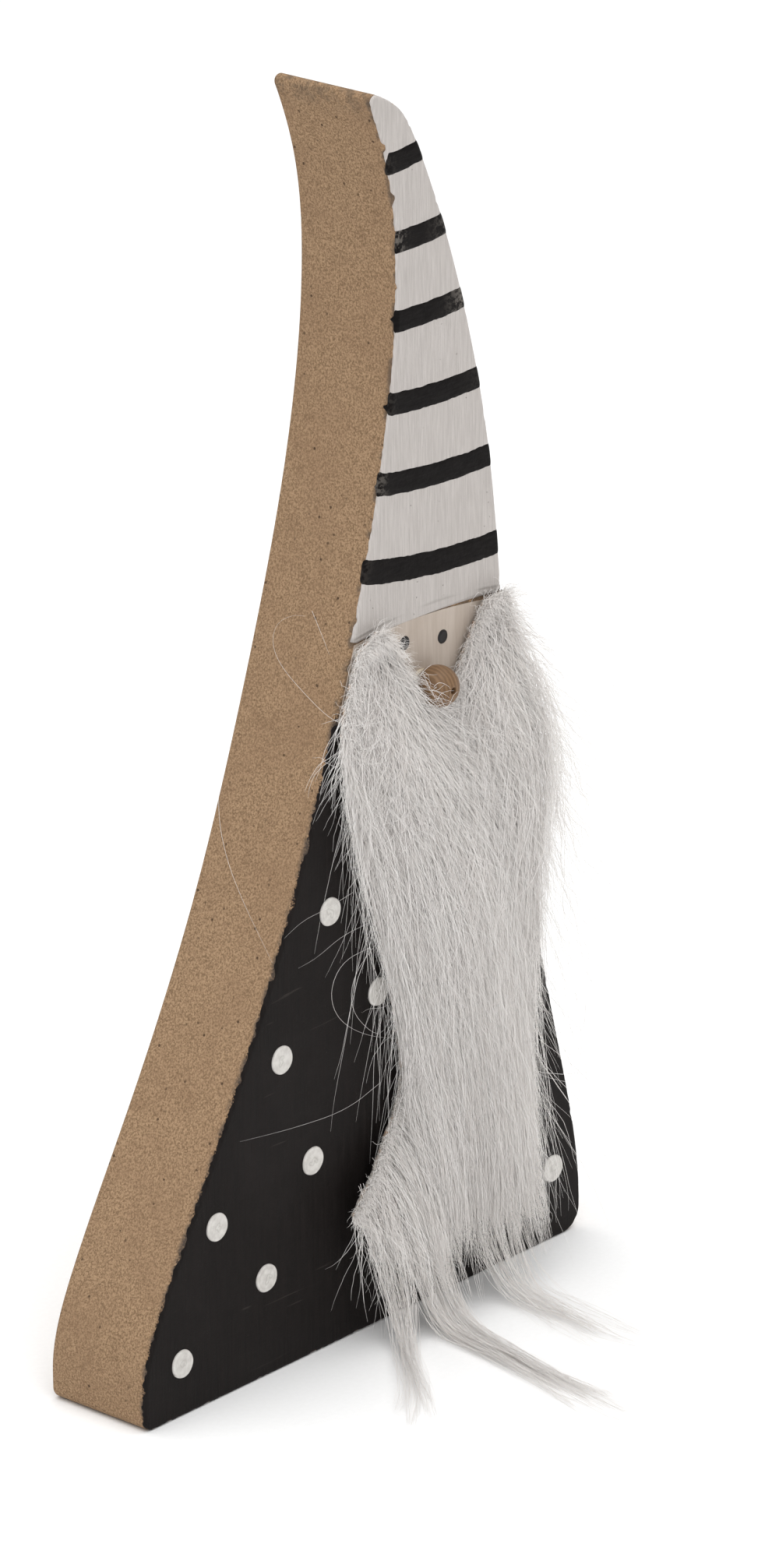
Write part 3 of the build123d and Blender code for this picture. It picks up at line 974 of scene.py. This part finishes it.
def fur_depth(x, z):
    """How far the fur's outer surface stands in front of the cloth."""
    depth = np.interp(z, DEPTH_Z, DEPTH)
    u = across_share(x, z)
    left_thin = 0.25 + 0.75 * smooth((u + 0.05) / 0.28)
    right_thin = 0.75 + 0.25 * smooth((1.1 - u) / 0.3)
    right_thin += 0.32 * smooth((u - 0.6) / 0.4) * smooth((z - 90) / 25)
    ridges = 1 + 0.13 * swirl[2](x + 0.25 * z)
    return depth * left_thin * right_thin * ridges


# The beard's own sides, by height.
SIDE_Z = [0, 14, 29, 38, 50, 60, 70, 80, 100, 120, 128, 137, 147]
SIDE_LEFT = [-6, -8, -10, -1, 8.0, 8.0, 6.5, 3.0, -4.0, -7.5, -7.5, -6.0, -4.0]
SIDE_RIGHT = [46, 44, 43, 43, 43, 44, 45.5, 48, 51.5, 53.5, 53, 51, 46]
# Where the locks lie on the table: hanging centre, spread there, tip (x, y), tip spread.
LOCKS = [
    {"centre": -0.5, "squeeze": 0.6, "tip": (-35.0, -60.0), "fan": 3.6},
    {"centre": 6.5, "squeeze": 0.7, "tip": (0.0, -80.0), "fan": 5.0},
    {"centre": 30.0, "squeeze": 0.35, "tip": (25.0, -63.0), "fan": 6.5},
]
LOCK_BORDERS = [2.0, 21.0]
# The height at which the long fibres begin to turn along the table.
FLOOR_BEND = 12.0


def grow(x, z, length, lift, swing, steps, generator):
    """Grows strands from roots on the cloth. Returns points of shape (strand, step, 3).
    lift is each strand's share of the fur's depth, swing its own turn in radians."""
    count = len(x)
    x, z = x.copy(), z.copy()
    rise = np.zeros(count)
    forward = np.zeros(count)
    points = np.zeros((count, steps, 3))
    points[:, 0] = np.stack([x, cloth_y(x, z) - 0.3, z], -1)
    piece = length / (steps - 1)
    lock = np.searchsorted(LOCK_BORDERS, x)
    tip, fan, squeeze, middle = (
        np.array([k[key] for k in LOCKS])[lock] for key in ("tip", "fan", "squeeze", "centre")
    )
    tip = tip + generator.normal(0, 1, (count, 2)) * fan[:, None] * (0.7, 1.6)
    lowest = 0.15 + 3.6 * generator.beta(1.4, 2.5, count)
    for i in range(1, steps):
        t = i / (steps - 1)
        angle = flow_angle(x, z) + swing
        target = fur_depth(x, z) * lift * (1 - (1 - t) ** 2.1)
        climb = np.clip(target - rise, -0.5 * piece, 0.6 * piece)
        rise = rise + climb
        step = np.sqrt(np.clip(piece**2 - climb**2, (0.4 * piece) ** 2, None))
        floor_height = lowest * np.clip(1 - (forward - 12) / 45, 0.06, 1)
        bend = np.arcsin(np.clip(1 - (z - floor_height) / FLOOR_BEND, 0, 1))
        gather = smooth((34 - z) / 30) * np.clip(1 - forward / 20, 0, 1)
        sideways = np.sin(angle) * np.cos(bend) * step
        sideways += (middle - x) * squeeze * gather * step / 26
        ahead_x = tip[:, 0] - x
        ahead_y = tip[:, 1] - (points[:, i - 1, 1])
        gap = np.hypot(ahead_x, ahead_y) + 6
        x = x + sideways + np.sin(bend) * step * ahead_x / gap
        forward = forward - np.sin(bend) * step * np.minimum(ahead_y / gap, 0.25)
        z = z - np.cos(bend) * np.cos(angle) * step
        z = np.maximum(z, floor_height * 0.9)
        sheet = cloth_y(x, np.maximum(z, 8.0))
        points[:, i] = np.stack([x, sheet - 0.4 - rise - forward, z], -1)
    return points


def past_sides(points):
    """How far points lie past the beard's left and right sides, and how much the sides count
    there: not at all on the table."""
    x, z = points[..., 0], points[..., 2]
    left, right = np.interp(z, SIDE_Z, SIDE_LEFT), np.interp(z, SIDE_Z, SIDE_RIGHT)
    return left - x, x - right, smooth((z - 8) / 10)


def beyond_sides(points):
    """How far each strand leaves the beard's sides at most, above the table's locks."""
    left, right, share = past_sides(points)
    return (np.maximum(left, right) * share).max(1)


def contain(points, slack):
    """Bends strands back that would leave the beard's sides by more than about slack."""
    for side, sign in ((0, 1), (1, -1)):
        over, share = np.clip(past_sides(points)[side], 0, None), past_sides(points)[2]
        points[..., 0] += sign * (over - slack * (1 - np.exp(-over / slack))) * share
    return points


def clump(points, centres, share, power, generator):
    """Draws each strand towards the nearest of a few strands, more so towards its tip."""
    chosen = generator.choice(len(points), centres, replace=False)
    roots, heads = points[:, 0][:, (0, 2)], points[chosen, 0][:, (0, 2)]
    near = np.empty(len(points), int)
    for start in range(0, len(points), 4000):
        part = roots[start : start + 4000]
        gap = ((part[:, None] - heads[None]) ** 2).sum(-1)
        near[start : start + 4000] = gap.argmin(1)
    leader = points[chosen][near]
    steps = points.shape[1]
    t = np.linspace(0, 1, steps) ** power
    pull = share[:, None] * t[None] if np.ndim(share) else share * t[None]
    return leader + (points - leader) * (1 - pull[..., None])


def frizz(points, size, cycles, generator):
    """Adds each strand's own gentle waves, from nothing at the root."""
    count, steps, _ = points.shape
    t = np.linspace(0, 1, steps)[None, :, None]
    for share, turns in ((1.0, cycles), (0.45, cycles * 2.7)):
        phase = generator.uniform(0, 2 * math.pi, (count, 1, 3))
        turns = turns * generator.uniform(0.6, 1.4, (count, 1, 3))
        amount = size * share * generator.uniform(0.3, 1.0, (count, 1, 3))
        wave = np.sin(2 * math.pi * turns * t + phase) - np.sin(phase)
        points = points + wave * amount * np.minimum(t * 3, 1) * (1, 0.7, 0.5)
    return points


# Fibres stay within these bounds, in mm: WIDEST and PAST_WIDEST to each side, and this far out.
WIDEST = 62.0
PAST_WIDEST = 6.0
FARTHEST_OUT = -85.0


def keep_clear(points):
    """Keeps strands near the beard, in front of the painted face and above the table."""
    across = points[..., 0]
    over = np.clip(np.abs(across) - WIDEST, 0, None)
    soft = WIDEST + PAST_WIDEST * (1 - np.exp(-over / PAST_WIDEST))
    points[..., 0] = np.where(over > 0, np.sign(across) * soft, across)
    points[..., 1] = np.maximum(points[..., 1], FARTHEST_OUT)
    points[..., 2] = np.maximum(points[..., 2], 0.08)
    points[..., 1] = np.minimum(points[..., 1], PAINTED_Y - 0.12)
    return points


def strand_mesh(name, points, width, tone):
    """Closed three-sided tapered tubes along the strands, as one mesh."""
    count, steps, _ = points.shape
    along = np.gradient(points, axis=1)
    along /= np.linalg.norm(along, axis=-1, keepdims=True) + 1e-9
    side = np.cross(along, [0.31, -0.9, 0.28])
    side /= np.linalg.norm(side, axis=-1, keepdims=True) + 1e-9
    other = np.cross(along, side)
    t = np.linspace(0, 1, steps)
    taper = (1 - 0.72 * t**2.2)[None, :, None] * width[:, None, None] / 2
    ring = []
    for a in (0.5, 0.5 + 2 * math.pi / 3, 0.5 + 4 * math.pi / 3):
        ring.append(points + taper * (math.cos(a) * side + math.sin(a) * other))
    corners = np.stack(ring, 2).reshape(-1, 3)
    first = np.arange(count) * steps * 3
    base = first[:, None, None] + (np.arange(steps - 1) * 3)[None, :, None]
    j, k = np.array([0, 1, 2]), np.array([1, 2, 0])
    quads = np.stack([base + j, base + k, base + 3 + k, base + 3 + j], -1)
    roots = first[:, None] + np.array([2, 1, 0])
    tips = first[:, None] + (steps - 1) * 3 + np.array([0, 1, 2])
    loops = np.concatenate([quads.ravel(), roots.ravel(), tips.ravel()]).astype(np.int32)
    starts = [np.arange(0, quads.size, 4), np.arange(quads.size, len(loops), 3)]
    mesh = bpy.data.meshes.new(name)
    mesh.vertices.add(len(corners))
    mesh.vertices.foreach_set("co", (corners * MM).astype(np.float32).ravel())
    mesh.loops.add(len(loops))
    mesh.loops.foreach_set("vertex_index", loops)
    mesh.polygons.add(sum(len(part) for part in starts))
    mesh.polygons.foreach_set("loop_start", np.concatenate(starts).astype(np.int32))
    mesh.update(calc_edges=True)
    values = {"tone": np.repeat(tone, steps * 3), "along": np.tile(np.repeat(t, 3), count)}
    return finish_object(mesh, FUR, values)


# The most faces that one piece may have for the mesh export.
MAX_FACES = 190_000
fur_pieces = []


def add_fur(name, points, width, tone):
    """Splits strands into pieces that are small enough for the mesh export."""
    points = keep_clear(points)
    per_strand = (points.shape[1] - 1) * 6 + 2
    per_piece = MAX_FACES // per_strand
    parts = math.ceil(len(points) / per_piece)
    order = np.argsort(points[:, 0, 0], kind="stable")
    for i, chosen in enumerate(np.array_split(order, parts)):
        label = f"{name}_{i + 1}" if parts > 1 else name
        fur_pieces.append(strand_mesh(label, points[chosen], width[chosen], tone[chosen]))


def sample_roots(count, generator, heights, weights):
    """Random root places on the cloth, as dense as the weights at those heights."""
    found = []
    while sum(len(f) for f in found) < count:
        x = generator.uniform(-12, 46, count * 2)
        z = generator.uniform(8, 148, count * 2)
        keep = generator.uniform(0, 1, len(x)) < np.interp(z, heights, weights)
        keep &= inside(x, z, cloth_edge)
        found.append(np.stack([x[keep], z[keep]], -1))
    return np.concatenate(found)[:count].T


def swings(spread, generator):
    """Each strand's own turn in radians, for a spread in degrees."""
    return np.radians(generator.normal(0, 1, len(spread)) * spread)


def tones(count, generator, spread=0.25):
    return np.clip(generator.normal(0.6, spread, count), 0, 1)


def main_pile(count, generator):
    """The long guard fibres that make the beard's shape, loose above and drawn into locks below."""
    x, z = sample_roots(count, generator, [10, 30, 50, 70, 148], [0.07, 0.2, 0.45, 0.85, 1])
    length = generator.normal(72, 5, count)
    short = generator.uniform(0, 1, count) < 0.3
    length *= np.where(short, generator.uniform(0.45, 0.9, count), 1)
    # Fibres that could reach the table end above it, at uneven heights.
    end = 4 + 66 * generator.beta(1.25, 1.7, count)
    length = np.minimum(length, np.maximum(z - end, 5) * 1.05)
    lift = generator.beta(4, 1.6, count) * np.where(short, 0.85, 1.0)
    swing = swings(np.interp(z, [60, 100, 130, 147], [5, 7, 14, 30]), generator)
    points = grow(x, z, length, lift, swing, 17, generator)
    share = generator.uniform(0.5, 1.0, count)
    share *= np.interp(z, [20, 60, 90, 115, 145], [0.97, 0.85, 0.42, 0.2, 0.1])
    points = clump(points, count // 24, share, 1.2, generator)
    points = clump(points, count // 240, 0.06 + 0.5 * smooth((80 - z) / 50), 1.7, generator)
    feathered = beyond_sides(points) < generator.uniform(0, 3.6, count)
    points = frizz(contain(points, 4.5), 0.4, 0.9, generator)
    bright = generator.uniform(0, 1, count) < 0.07
    coarse, fine = generator.uniform(0.13, 0.17, count), generator.uniform(0.06, 0.12, count)
    width = np.where(bright, coarse, fine)
    tone = np.where(bright, 1.0, tones(count, generator, 0.3))
    kept = off_face(points) & feathered
    add_fur("fur_pile", points[kept], width[kept], tone[kept])


def undercoat(count, generator):
    """Short soft fibres that cover the cloth between and under the long ones."""
    x, z = sample_roots(count, generator, [10, 30, 60, 110, 148], [0.03, 0.14, 0.6, 0.8, 1])
    length = generator.uniform(9, 24, count)
    length = np.minimum(length, np.maximum(z * generator.uniform(0.15, 0.5, count), 4))
    lift = generator.uniform(0.2, 1.0, count)
    lift *= np.interp(z, [30, 45, 100, 130], [0.9, 0.6, 0.6, 0.95])
    swing = swings(np.interp(z, [60, 100, 135, 147], [8, 14, 30, 50]), generator)
    points = grow(x, z, length, lift, swing, 8, generator)
    points = frizz(points, 0.6, 1.0, generator)
    feathered = beyond_sides(points) < generator.uniform(0, 3, count)
    points = contain(points, 4.0)
    width, tone = generator.uniform(0.07, 0.11, count), tones(count, generator)
    kept = off_face(points) & feathered
    add_fur("fur_undercoat", points[kept], width[kept], tone[kept])


def curls(root, heading, tilt, length, wander, steps, generator):
    """Free fibres as smooth random walks. heading is in the front's plane, from +X towards +Z, and
    tilt is how far they lean out of it; both in radians. They sag as they go."""
    count = len(root)
    points = np.zeros((count, steps, 3))
    points[:, 0] = root
    piece = length / (steps - 1)
    turn = generator.normal(0, 1, count) * wander
    sag = generator.uniform(0.4, 1.2, count)
    for i in range(1, steps):
        heading = heading + turn + generator.normal(0, 1, count) * wander * 0.8
        turn = turn * 0.85 + generator.normal(0, 1, count) * wander * 0.35
        tilt = tilt + generator.normal(0, 0.12, count)
        way = np.stack(
            [np.cos(heading) * np.cos(tilt), -np.sin(tilt), np.sin(heading) * np.cos(tilt)], -1
        )
        way[:, 2] -= sag * i / steps
        way /= np.linalg.norm(way, axis=1, keepdims=True)
        points[:, i] = points[:, i - 1] + way * piece[:, None]
    return points


FACE_OVERLAP = 1.7


def off_face(points):
    """Picks the strands that neither climb above their roots nor cross the face between the
    lobes."""
    x, z = points[..., 0], points[..., 2]
    climbs = z.max(1) > z[:, 0] + 1.5
    bare = (x > 3) & (x < 33) & (z > 134.5)
    for shift in (-FACE_OVERLAP, 0.0, FACE_OVERLAP):
        bare &= ~inside(x + shift, z, cloth_edge)
    crosses = bare.any(1)
    return ~(climbs | crosses)


def edge_places(low, high, count, generator):
    """Random places along the cloth's cut edge between two shares of its run, and the outward
    heading there."""
    at = generator.uniform(low, high + (high < low), count) * len(cloth_edge)
    index = at.astype(int) % len(cloth_edge)
    place = cloth_edge[index]
    way = (np.roll(cloth_edge, -2, 0) - np.roll(cloth_edge, 2, 0))[index]
    heading = np.arctan2(way[:, 0], -way[:, 1])
    probe = place + 0.5 * np.stack([np.cos(heading), np.sin(heading)], -1)
    inwards = inside(probe[:, 0], probe[:, 1], cloth_edge)
    return place, heading + np.where(inwards, math.pi, 0.0)


def off_cloth(place, depth):
    """Points in front of the cloth at (x, z) places, depth mm before its middle surface."""
    return np.stack([place[:, 0], cloth_y(place[:, 0], place[:, 1]) - depth, place[:, 1]], -1)


def share_at(x, z):
    """The share of the edge's run at the edge point nearest to a place."""
    gap = np.hypot(cloth_edge[:, 0] - x, cloth_edge[:, 1] - z)
    return gap.argmin() / len(cloth_edge)


def edge_fluff(generator):
    """Short curled fibres that stand out round the cut edge, thickest at the top."""
    parts = [
        (0.0, share_at(*CLOTH_LEFT_LOBE) + 0.02, 800, (2.5, 6), 0.8, 0.1),
        (share_at(*CLOTH_LEFT_LOBE), share_at(10, 137), 450, (1.5, 5), 0.9, 0.0),
        (share_at(10, 137), share_at(23, 129), 900, (2, 6), 0.8, 0.0),
        (share_at(23, 129), share_at(*CLOTH_RIGHT_LOBE), 1500, (1.8, 4.5), 0.8, 0.2),
        (share_at(*CLOTH_RIGHT_LOBE), share_at(42.6, 118), 1100, (2, 8), 0.7, -0.5),
        (share_at(-1, 38.5), share_at(8, 52), 500, (1.5, 4), 0.9, 0.9),
        (share_at(8, 52), share_at(-4.6, 108), 260, (3, 10), 0.4, 1.55),
        (share_at(-4.6, 108), share_at(-8, 128), 420, (3, 11), 0.45, 1.45),
        (share_at(-8, 128), 0.999, 600, (1.5, 6), 0.8, 0.9),
        (share_at(*CLOTH_CORNER), share_at(-1, 38.5), 600, (1.5, 4.5), 1.2, 1.2),
        (share_at(4, 19), share_at(*CLOTH_CORNER), 280, (2.5, 9), 1.1, 0.5),
    ]
    made, widths = [], []
    for low, high, count, size, wander, turn in parts:
        place, heading = edge_places(low, high, count, generator)
        inward = generator.uniform(0, 1.6, count)[:, None]
        place = place - inward * np.stack([np.cos(heading), np.sin(heading)], -1)
        heading = heading + turn + generator.normal(0, 0.6, count)
        tilt, length = generator.uniform(0.1, 1.1, count), generator.uniform(*size, count)
        root = off_cloth(place, 0.4)
        made.append(curls(root, heading, tilt, length, wander / 2, 11, generator))
        widths.append(generator.uniform(0.06, 0.1, count))
    points = np.concatenate(made)
    add_fur("fur_edge_fluff", points, np.concatenate(widths), tones(len(points), generator))


def strays(generator):
    """Single long fibres that lie across the others or stand away from the beard."""
    for name, count, size, wild in (
        ("fur_strays", 220, (30, 75), 22),
        ("fur_cross", 2600, (7, 24), 60),
    ):
        x, z = sample_roots(count, generator, [40, 90, 134, 137], [0.1, 0.9, 1, 0])
        length = np.minimum(generator.uniform(*size, count), z - 12)
        lift = generator.uniform(0.95, 1.2, count)
        turn = np.clip(generator.normal(0, 1, count), -1.6, 1.6)
        swing = np.radians(turn * np.interp(z, [60, 120], [0.2, 1.0]) * wild)
        points = grow(x, z, length, lift, swing, 15, generator)
        points = contain(frizz(points, 0.05 * length.mean(), 0.7, generator), 3.0)
        points = points[off_face(points)]
        count = len(points)
        add_fur(name, points, generator.uniform(0.06, 0.1, count), np.full(count, 0.9))
    made = []
    # Past the right side, over the coat at the left, left of the lobe, under the loose corner, and
    # over the bead: from and to along the edge, number, length, turn, its spread, depth.
    for low, high, number, size, turn, spread, standing in (
        (share_at(42.6, 136), share_at(42, 96), 260, (10, 36), -1.2, 0.2, (0.3, 1.0)),
        (share_at(42.6, 134), share_at(42, 82), 130, (20, 65), -1.25, 0.16, (0.3, 1.0)),
        (share_at(42, 90), share_at(41, 40), 130, (20, 50), -1.4, 0.14, (0.2, 1.0)),
        (share_at(8, 52), share_at(-8, 124), 90, (6, 24), 1.6, 0.16, (0.0, 0.6)),
        (share_at(-4.6, 108), share_at(-6, 136), 120, (6, 16), 1.4, 0.3, (0.0, 0.6)),
        (share_at(4, 19), share_at(*CLOTH_CORNER), 130, (8, 24), 0.95, 0.2, (0.0, 1.0)),
        (share_at(9.5, 138.5), share_at(15, 128), 34, (3, 6.5), -0.2, 0.4, (0.5, 0.9)),
    ):
        place, heading = edge_places(low, high, number, generator)
        depth = generator.uniform(*standing, number) * fur_depth(place[:, 0], place[:, 1])
        heading = heading + turn + generator.normal(0, spread, number)
        tilt, length = generator.normal(0.05, 0.12, number), generator.uniform(*size, number)
        made.append(curls(off_cloth(place, depth), heading, tilt, length, 0.07, 20, generator))
    # A thin curtain that hangs straight down from the left edge, which leans to the right below.
    number = 190
    place, _ = edge_places(share_at(6, 60), share_at(-8, 126), number, generator)
    root = off_cloth(place, 0.5) + generator.uniform((0.6, -4.5, -1), (3.4, 0, 1), (number, 3))
    heading = generator.normal(-math.pi / 2 + 0.06, 0.07, number)
    tilt, length = generator.normal(0, 0.05, number), generator.uniform(16, 50, number)
    made.append(curls(root, heading, tilt, length, 0.04, 20, generator))
    points = np.concatenate(made)
    count = len(points)
    add_fur("fur_flyaways", points, generator.uniform(0.06, 0.1, count), np.full(count, 0.8))


# Long single fibres that cling to the board, as points in mm from root to tip.
CLINGING = [
    [(-2.0, -15.5, 83.3), (-8.9, -14.2, 82.1), (-12.0, -13.6, 76.5), (-9.8, -13.6, 70.0)]
    + [(-2.2, -14.0, 64.2), (7.0, -15.5, 61.0)],
    [(0.5, -15.5, 84.0), (-5.5, -14.0, 78.0), (-5.8, -13.6, 71.0), (-1.0, -13.8, 65.0)]
    + [(3.0, -14.5, 62.5), (6.0, -15.5, 70.0), (6.5, -17.0, 80.0)],
    [(1.0, -15.2, 95.0), (-4.0, -13.8, 80.0), (-6.5, -13.3, 66.0), (-10.5, -13.2, 53.0)]
    + [(-11.5, -13.2, 46.5)],
    [(-6.0, -14.8, 96.0), (-13.0, -13.5, 94.0), (-19.0, -13.2, 93.6), (-24.5, -13.2, 91.5)],
    [(-1.0, -14.5, 88.0), (-8.0, -13.4, 87.0), (-15.0, -13.2, 84.5), (-20.5, -13.2, 84.0)],
    [(2.0, -14.5, 53.0), (-7.0, -13.3, 49.5), (-23.0, -13.2, 50.8), (-38.0, -13.2, 53.0)],
    [(-14.5, 13.0, 118.0), (-15.6, 11.8, 112.7), (-17.9, 9.6, 107.3), (-20.3, 5.1, 100.9)]
    + [(-22.6, -1.0, 95.0), (-25.0, -7.4, 90.3), (-26.8, -12.1, 86.8)],
    [(-8.0, -14.4, 131.5), (-8.8, -11.3, 132.3), (-7.7, -4.4, 135.0), (-6.5, 3.4, 139.0)]
    + [(-5.4, 6.6, 142.8), (-4.2, 6.3, 146.6), (-3.6, 2.4, 149.0), (-3.2, -0.5, 149.2)],
    [(-3.0, -2.0, 150.6), (-3.9, -4.6, 147.9), (-4.6, -6.6, 145.8), (-5.2, -8.4, 143.6)],
]


def clinging():
    """The fibres of CLINGING, each as an even smooth line."""
    made = []
    for line in CLINGING:
        flat = np.array(line)
        for _ in range(3):
            flat = smoothed(flat)
        run = np.concatenate([[0], np.cumsum(np.linalg.norm(np.diff(flat, axis=0), axis=1))])
        at = np.linspace(0, run[-1], 30)
        made.append(np.stack([np.interp(at, run, flat[:, i]) for i in range(3)], -1))
    points = np.array(made)
    count = len(points)
    return strand_mesh("fur_clinging", points, np.full(count, 0.07), np.full(count, 0.5))


def smoothed(line):
    """Cuts a line's corners once, keeping its ends."""
    a, b = line[:-1], line[1:]
    cut = np.stack([0.75 * a + 0.25 * b, 0.25 * a + 0.75 * b], 1).reshape(-1, line.shape[1])
    return np.concatenate([line[:1], cut, line[-1:]])


LOCK_SWING = 3.0
HEM_TOP = 44.0


def floor_locks(generator):
    """The longest fibres of the lower edge, which sweep forwards along the table in three locks."""
    # Number, places across and up, lengths, how many fingers, and how closely they draw together.
    groups = [
        (100, (-8.5, 2.0), (20, 36), (50, 88), 9, 0.88),
        (210, (2.0, 18.0), (18, 34), (58, 94), 26, 0.9),
        (110, (24.0, 37.0), (17, 36), (40, 72), 14, 0.85),
    ]
    for number, (count, across, up, size, fingers, share) in enumerate(groups):
        x, z = generator.uniform(*across, count), generator.uniform(*up, count)
        lift = generator.uniform(0.3, 1.0, count)
        swing = np.radians(generator.normal(0, LOCK_SWING, count))
        points = grow(x, z, generator.uniform(*size, count), lift, swing, 26, generator)
        points = clump(points, fingers, np.full(count, share), 1.1, generator)
        points = frizz(points, 0.7, 0.8, generator)
        width = generator.uniform(0.07, 0.12, count)
        add_fur(f"fur_lock_{number + 1}", points, width, tones(count, generator))
    # Thin tufts of the lower edge that end just above the table, with the coat between them.
    count = 620
    x, z = sample_roots(count, generator, [HEM_TOP, HEM_TOP + 1e-6], [1.0, 0.0])
    length = z - generator.uniform(2, 17, count)
    swing = np.radians(generator.normal(0, LOCK_SWING, count))
    lift = generator.uniform(0.2, 1.0, count)
    points = grow(x, z, length, lift, swing, 16, generator)
    points = frizz(clump(points, 50, 0.85, 1.0, generator), 0.5, 0.9, generator)
    width = generator.uniform(0.07, 0.12, count)
    add_fur("fur_hem", points, width, tones(count, generator))


DENSITY = 1.0
main_pile(int(22000 * DENSITY), np.random.default_rng(101))
undercoat(int(13000 * DENSITY), np.random.default_rng(102))
edge_fluff(np.random.default_rng(103))
strays(np.random.default_rng(104))
floor_locks(np.random.default_rng(105))
fur_pieces.append(clinging())

for piece in fur_pieces:
    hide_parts("beard_pile")


# ---------------------------------------------------------------- camera, lights and floor
def add_camera():
    """The photograph's viewing angle: from the front left, a little above."""
    camera = bpy.data.objects.new("camera", bpy.data.cameras.new("camera"))
    bpy.context.scene.collection.objects.link(camera)
    back = np.array([-0.7005, -0.6188, 0.3554])
    back /= np.linalg.norm(back)
    right = np.cross([0, 0, 1], back)
    right /= np.linalg.norm(right)
    up = np.cross(back, right)
    roll = math.radians(-0.39)
    turned_right = right * math.cos(roll) + up * math.sin(roll)
    turned_up = up * math.cos(roll) - right * math.sin(roll)
    matrix = Matrix.Identity(4)
    for i in range(3):
        matrix[i][0], matrix[i][1], matrix[i][2] = turned_right[i], turned_up[i], back[i]
    matrix.translation = (-1.0918, -0.9836, 0.6719)
    camera.matrix_world = matrix
    camera.data.lens = 183.8
    camera.data.sensor_width = 36
    camera.data.clip_start = 0.05
    camera.data.clip_end = 20
    bpy.context.scene.camera = camera


def add_area_light(name, place, target, size, power):
    """A soft square lamp that faces target."""
    lamp = bpy.data.lights.new(name, "AREA")
    lamp.size = size
    lamp.energy = power
    obj = bpy.data.objects.new(name, lamp)
    bpy.context.scene.collection.objects.link(obj)
    obj.location = place
    aim = np.array(target, float) - np.array(place, float)
    obj.rotation_euler = Vector(aim).to_track_quat("-Z", "Y").to_euler()


# Half the floor's width, and its height just under the board, in metres.
FLOOR = 6.0
FLOOR_Z = -0.00002


def add_floor():
    """A large pale floor with a faint plaster tooth."""
    m = Material("pale_floor", roughness=0.9, specular=0.05)
    tooth = m.noise(900, 3, 0.5)
    m.colour = m.mix(m.ramp(tooth, 0.3, 0.7), (0.955, 0.955, 0.955), (0.975, 0.975, 0.975))
    m.finish()
    mesh = bpy.data.meshes.new("floor")
    corners = [(-FLOOR, -FLOOR), (FLOOR, -FLOOR), (FLOOR, FLOOR), (-FLOOR, FLOOR)]
    mesh.from_pydata([(x, y, FLOOR_Z) for x, y in corners], [], [(0, 1, 2, 3)])
    mesh.materials.append(m.mat)
    floor = bpy.data.objects.new("floor", mesh)
    bpy.context.scene.collection.objects.link(floor)


def add_world():
    world = bpy.data.worlds.new("studio")
    bpy.context.scene.world = world
    world.use_nodes = True
    sky = world.node_tree.nodes["Background"]
    sky.inputs["Color"].default_value = (1.0, 0.995, 0.985, 1)
    sky.inputs["Strength"].default_value = 0.5


add_camera()
add_world()
add_floor()
add_area_light("top", (-0.1, -0.1, 2.2), (0, 0, 0.0), 3.2, 58)
add_area_light("key", (-1.1, -1.5, 1.2), (0, 0, 0.11), 1.1, 7)
bpy.context.scene.view_settings.view_transform = "Standard"
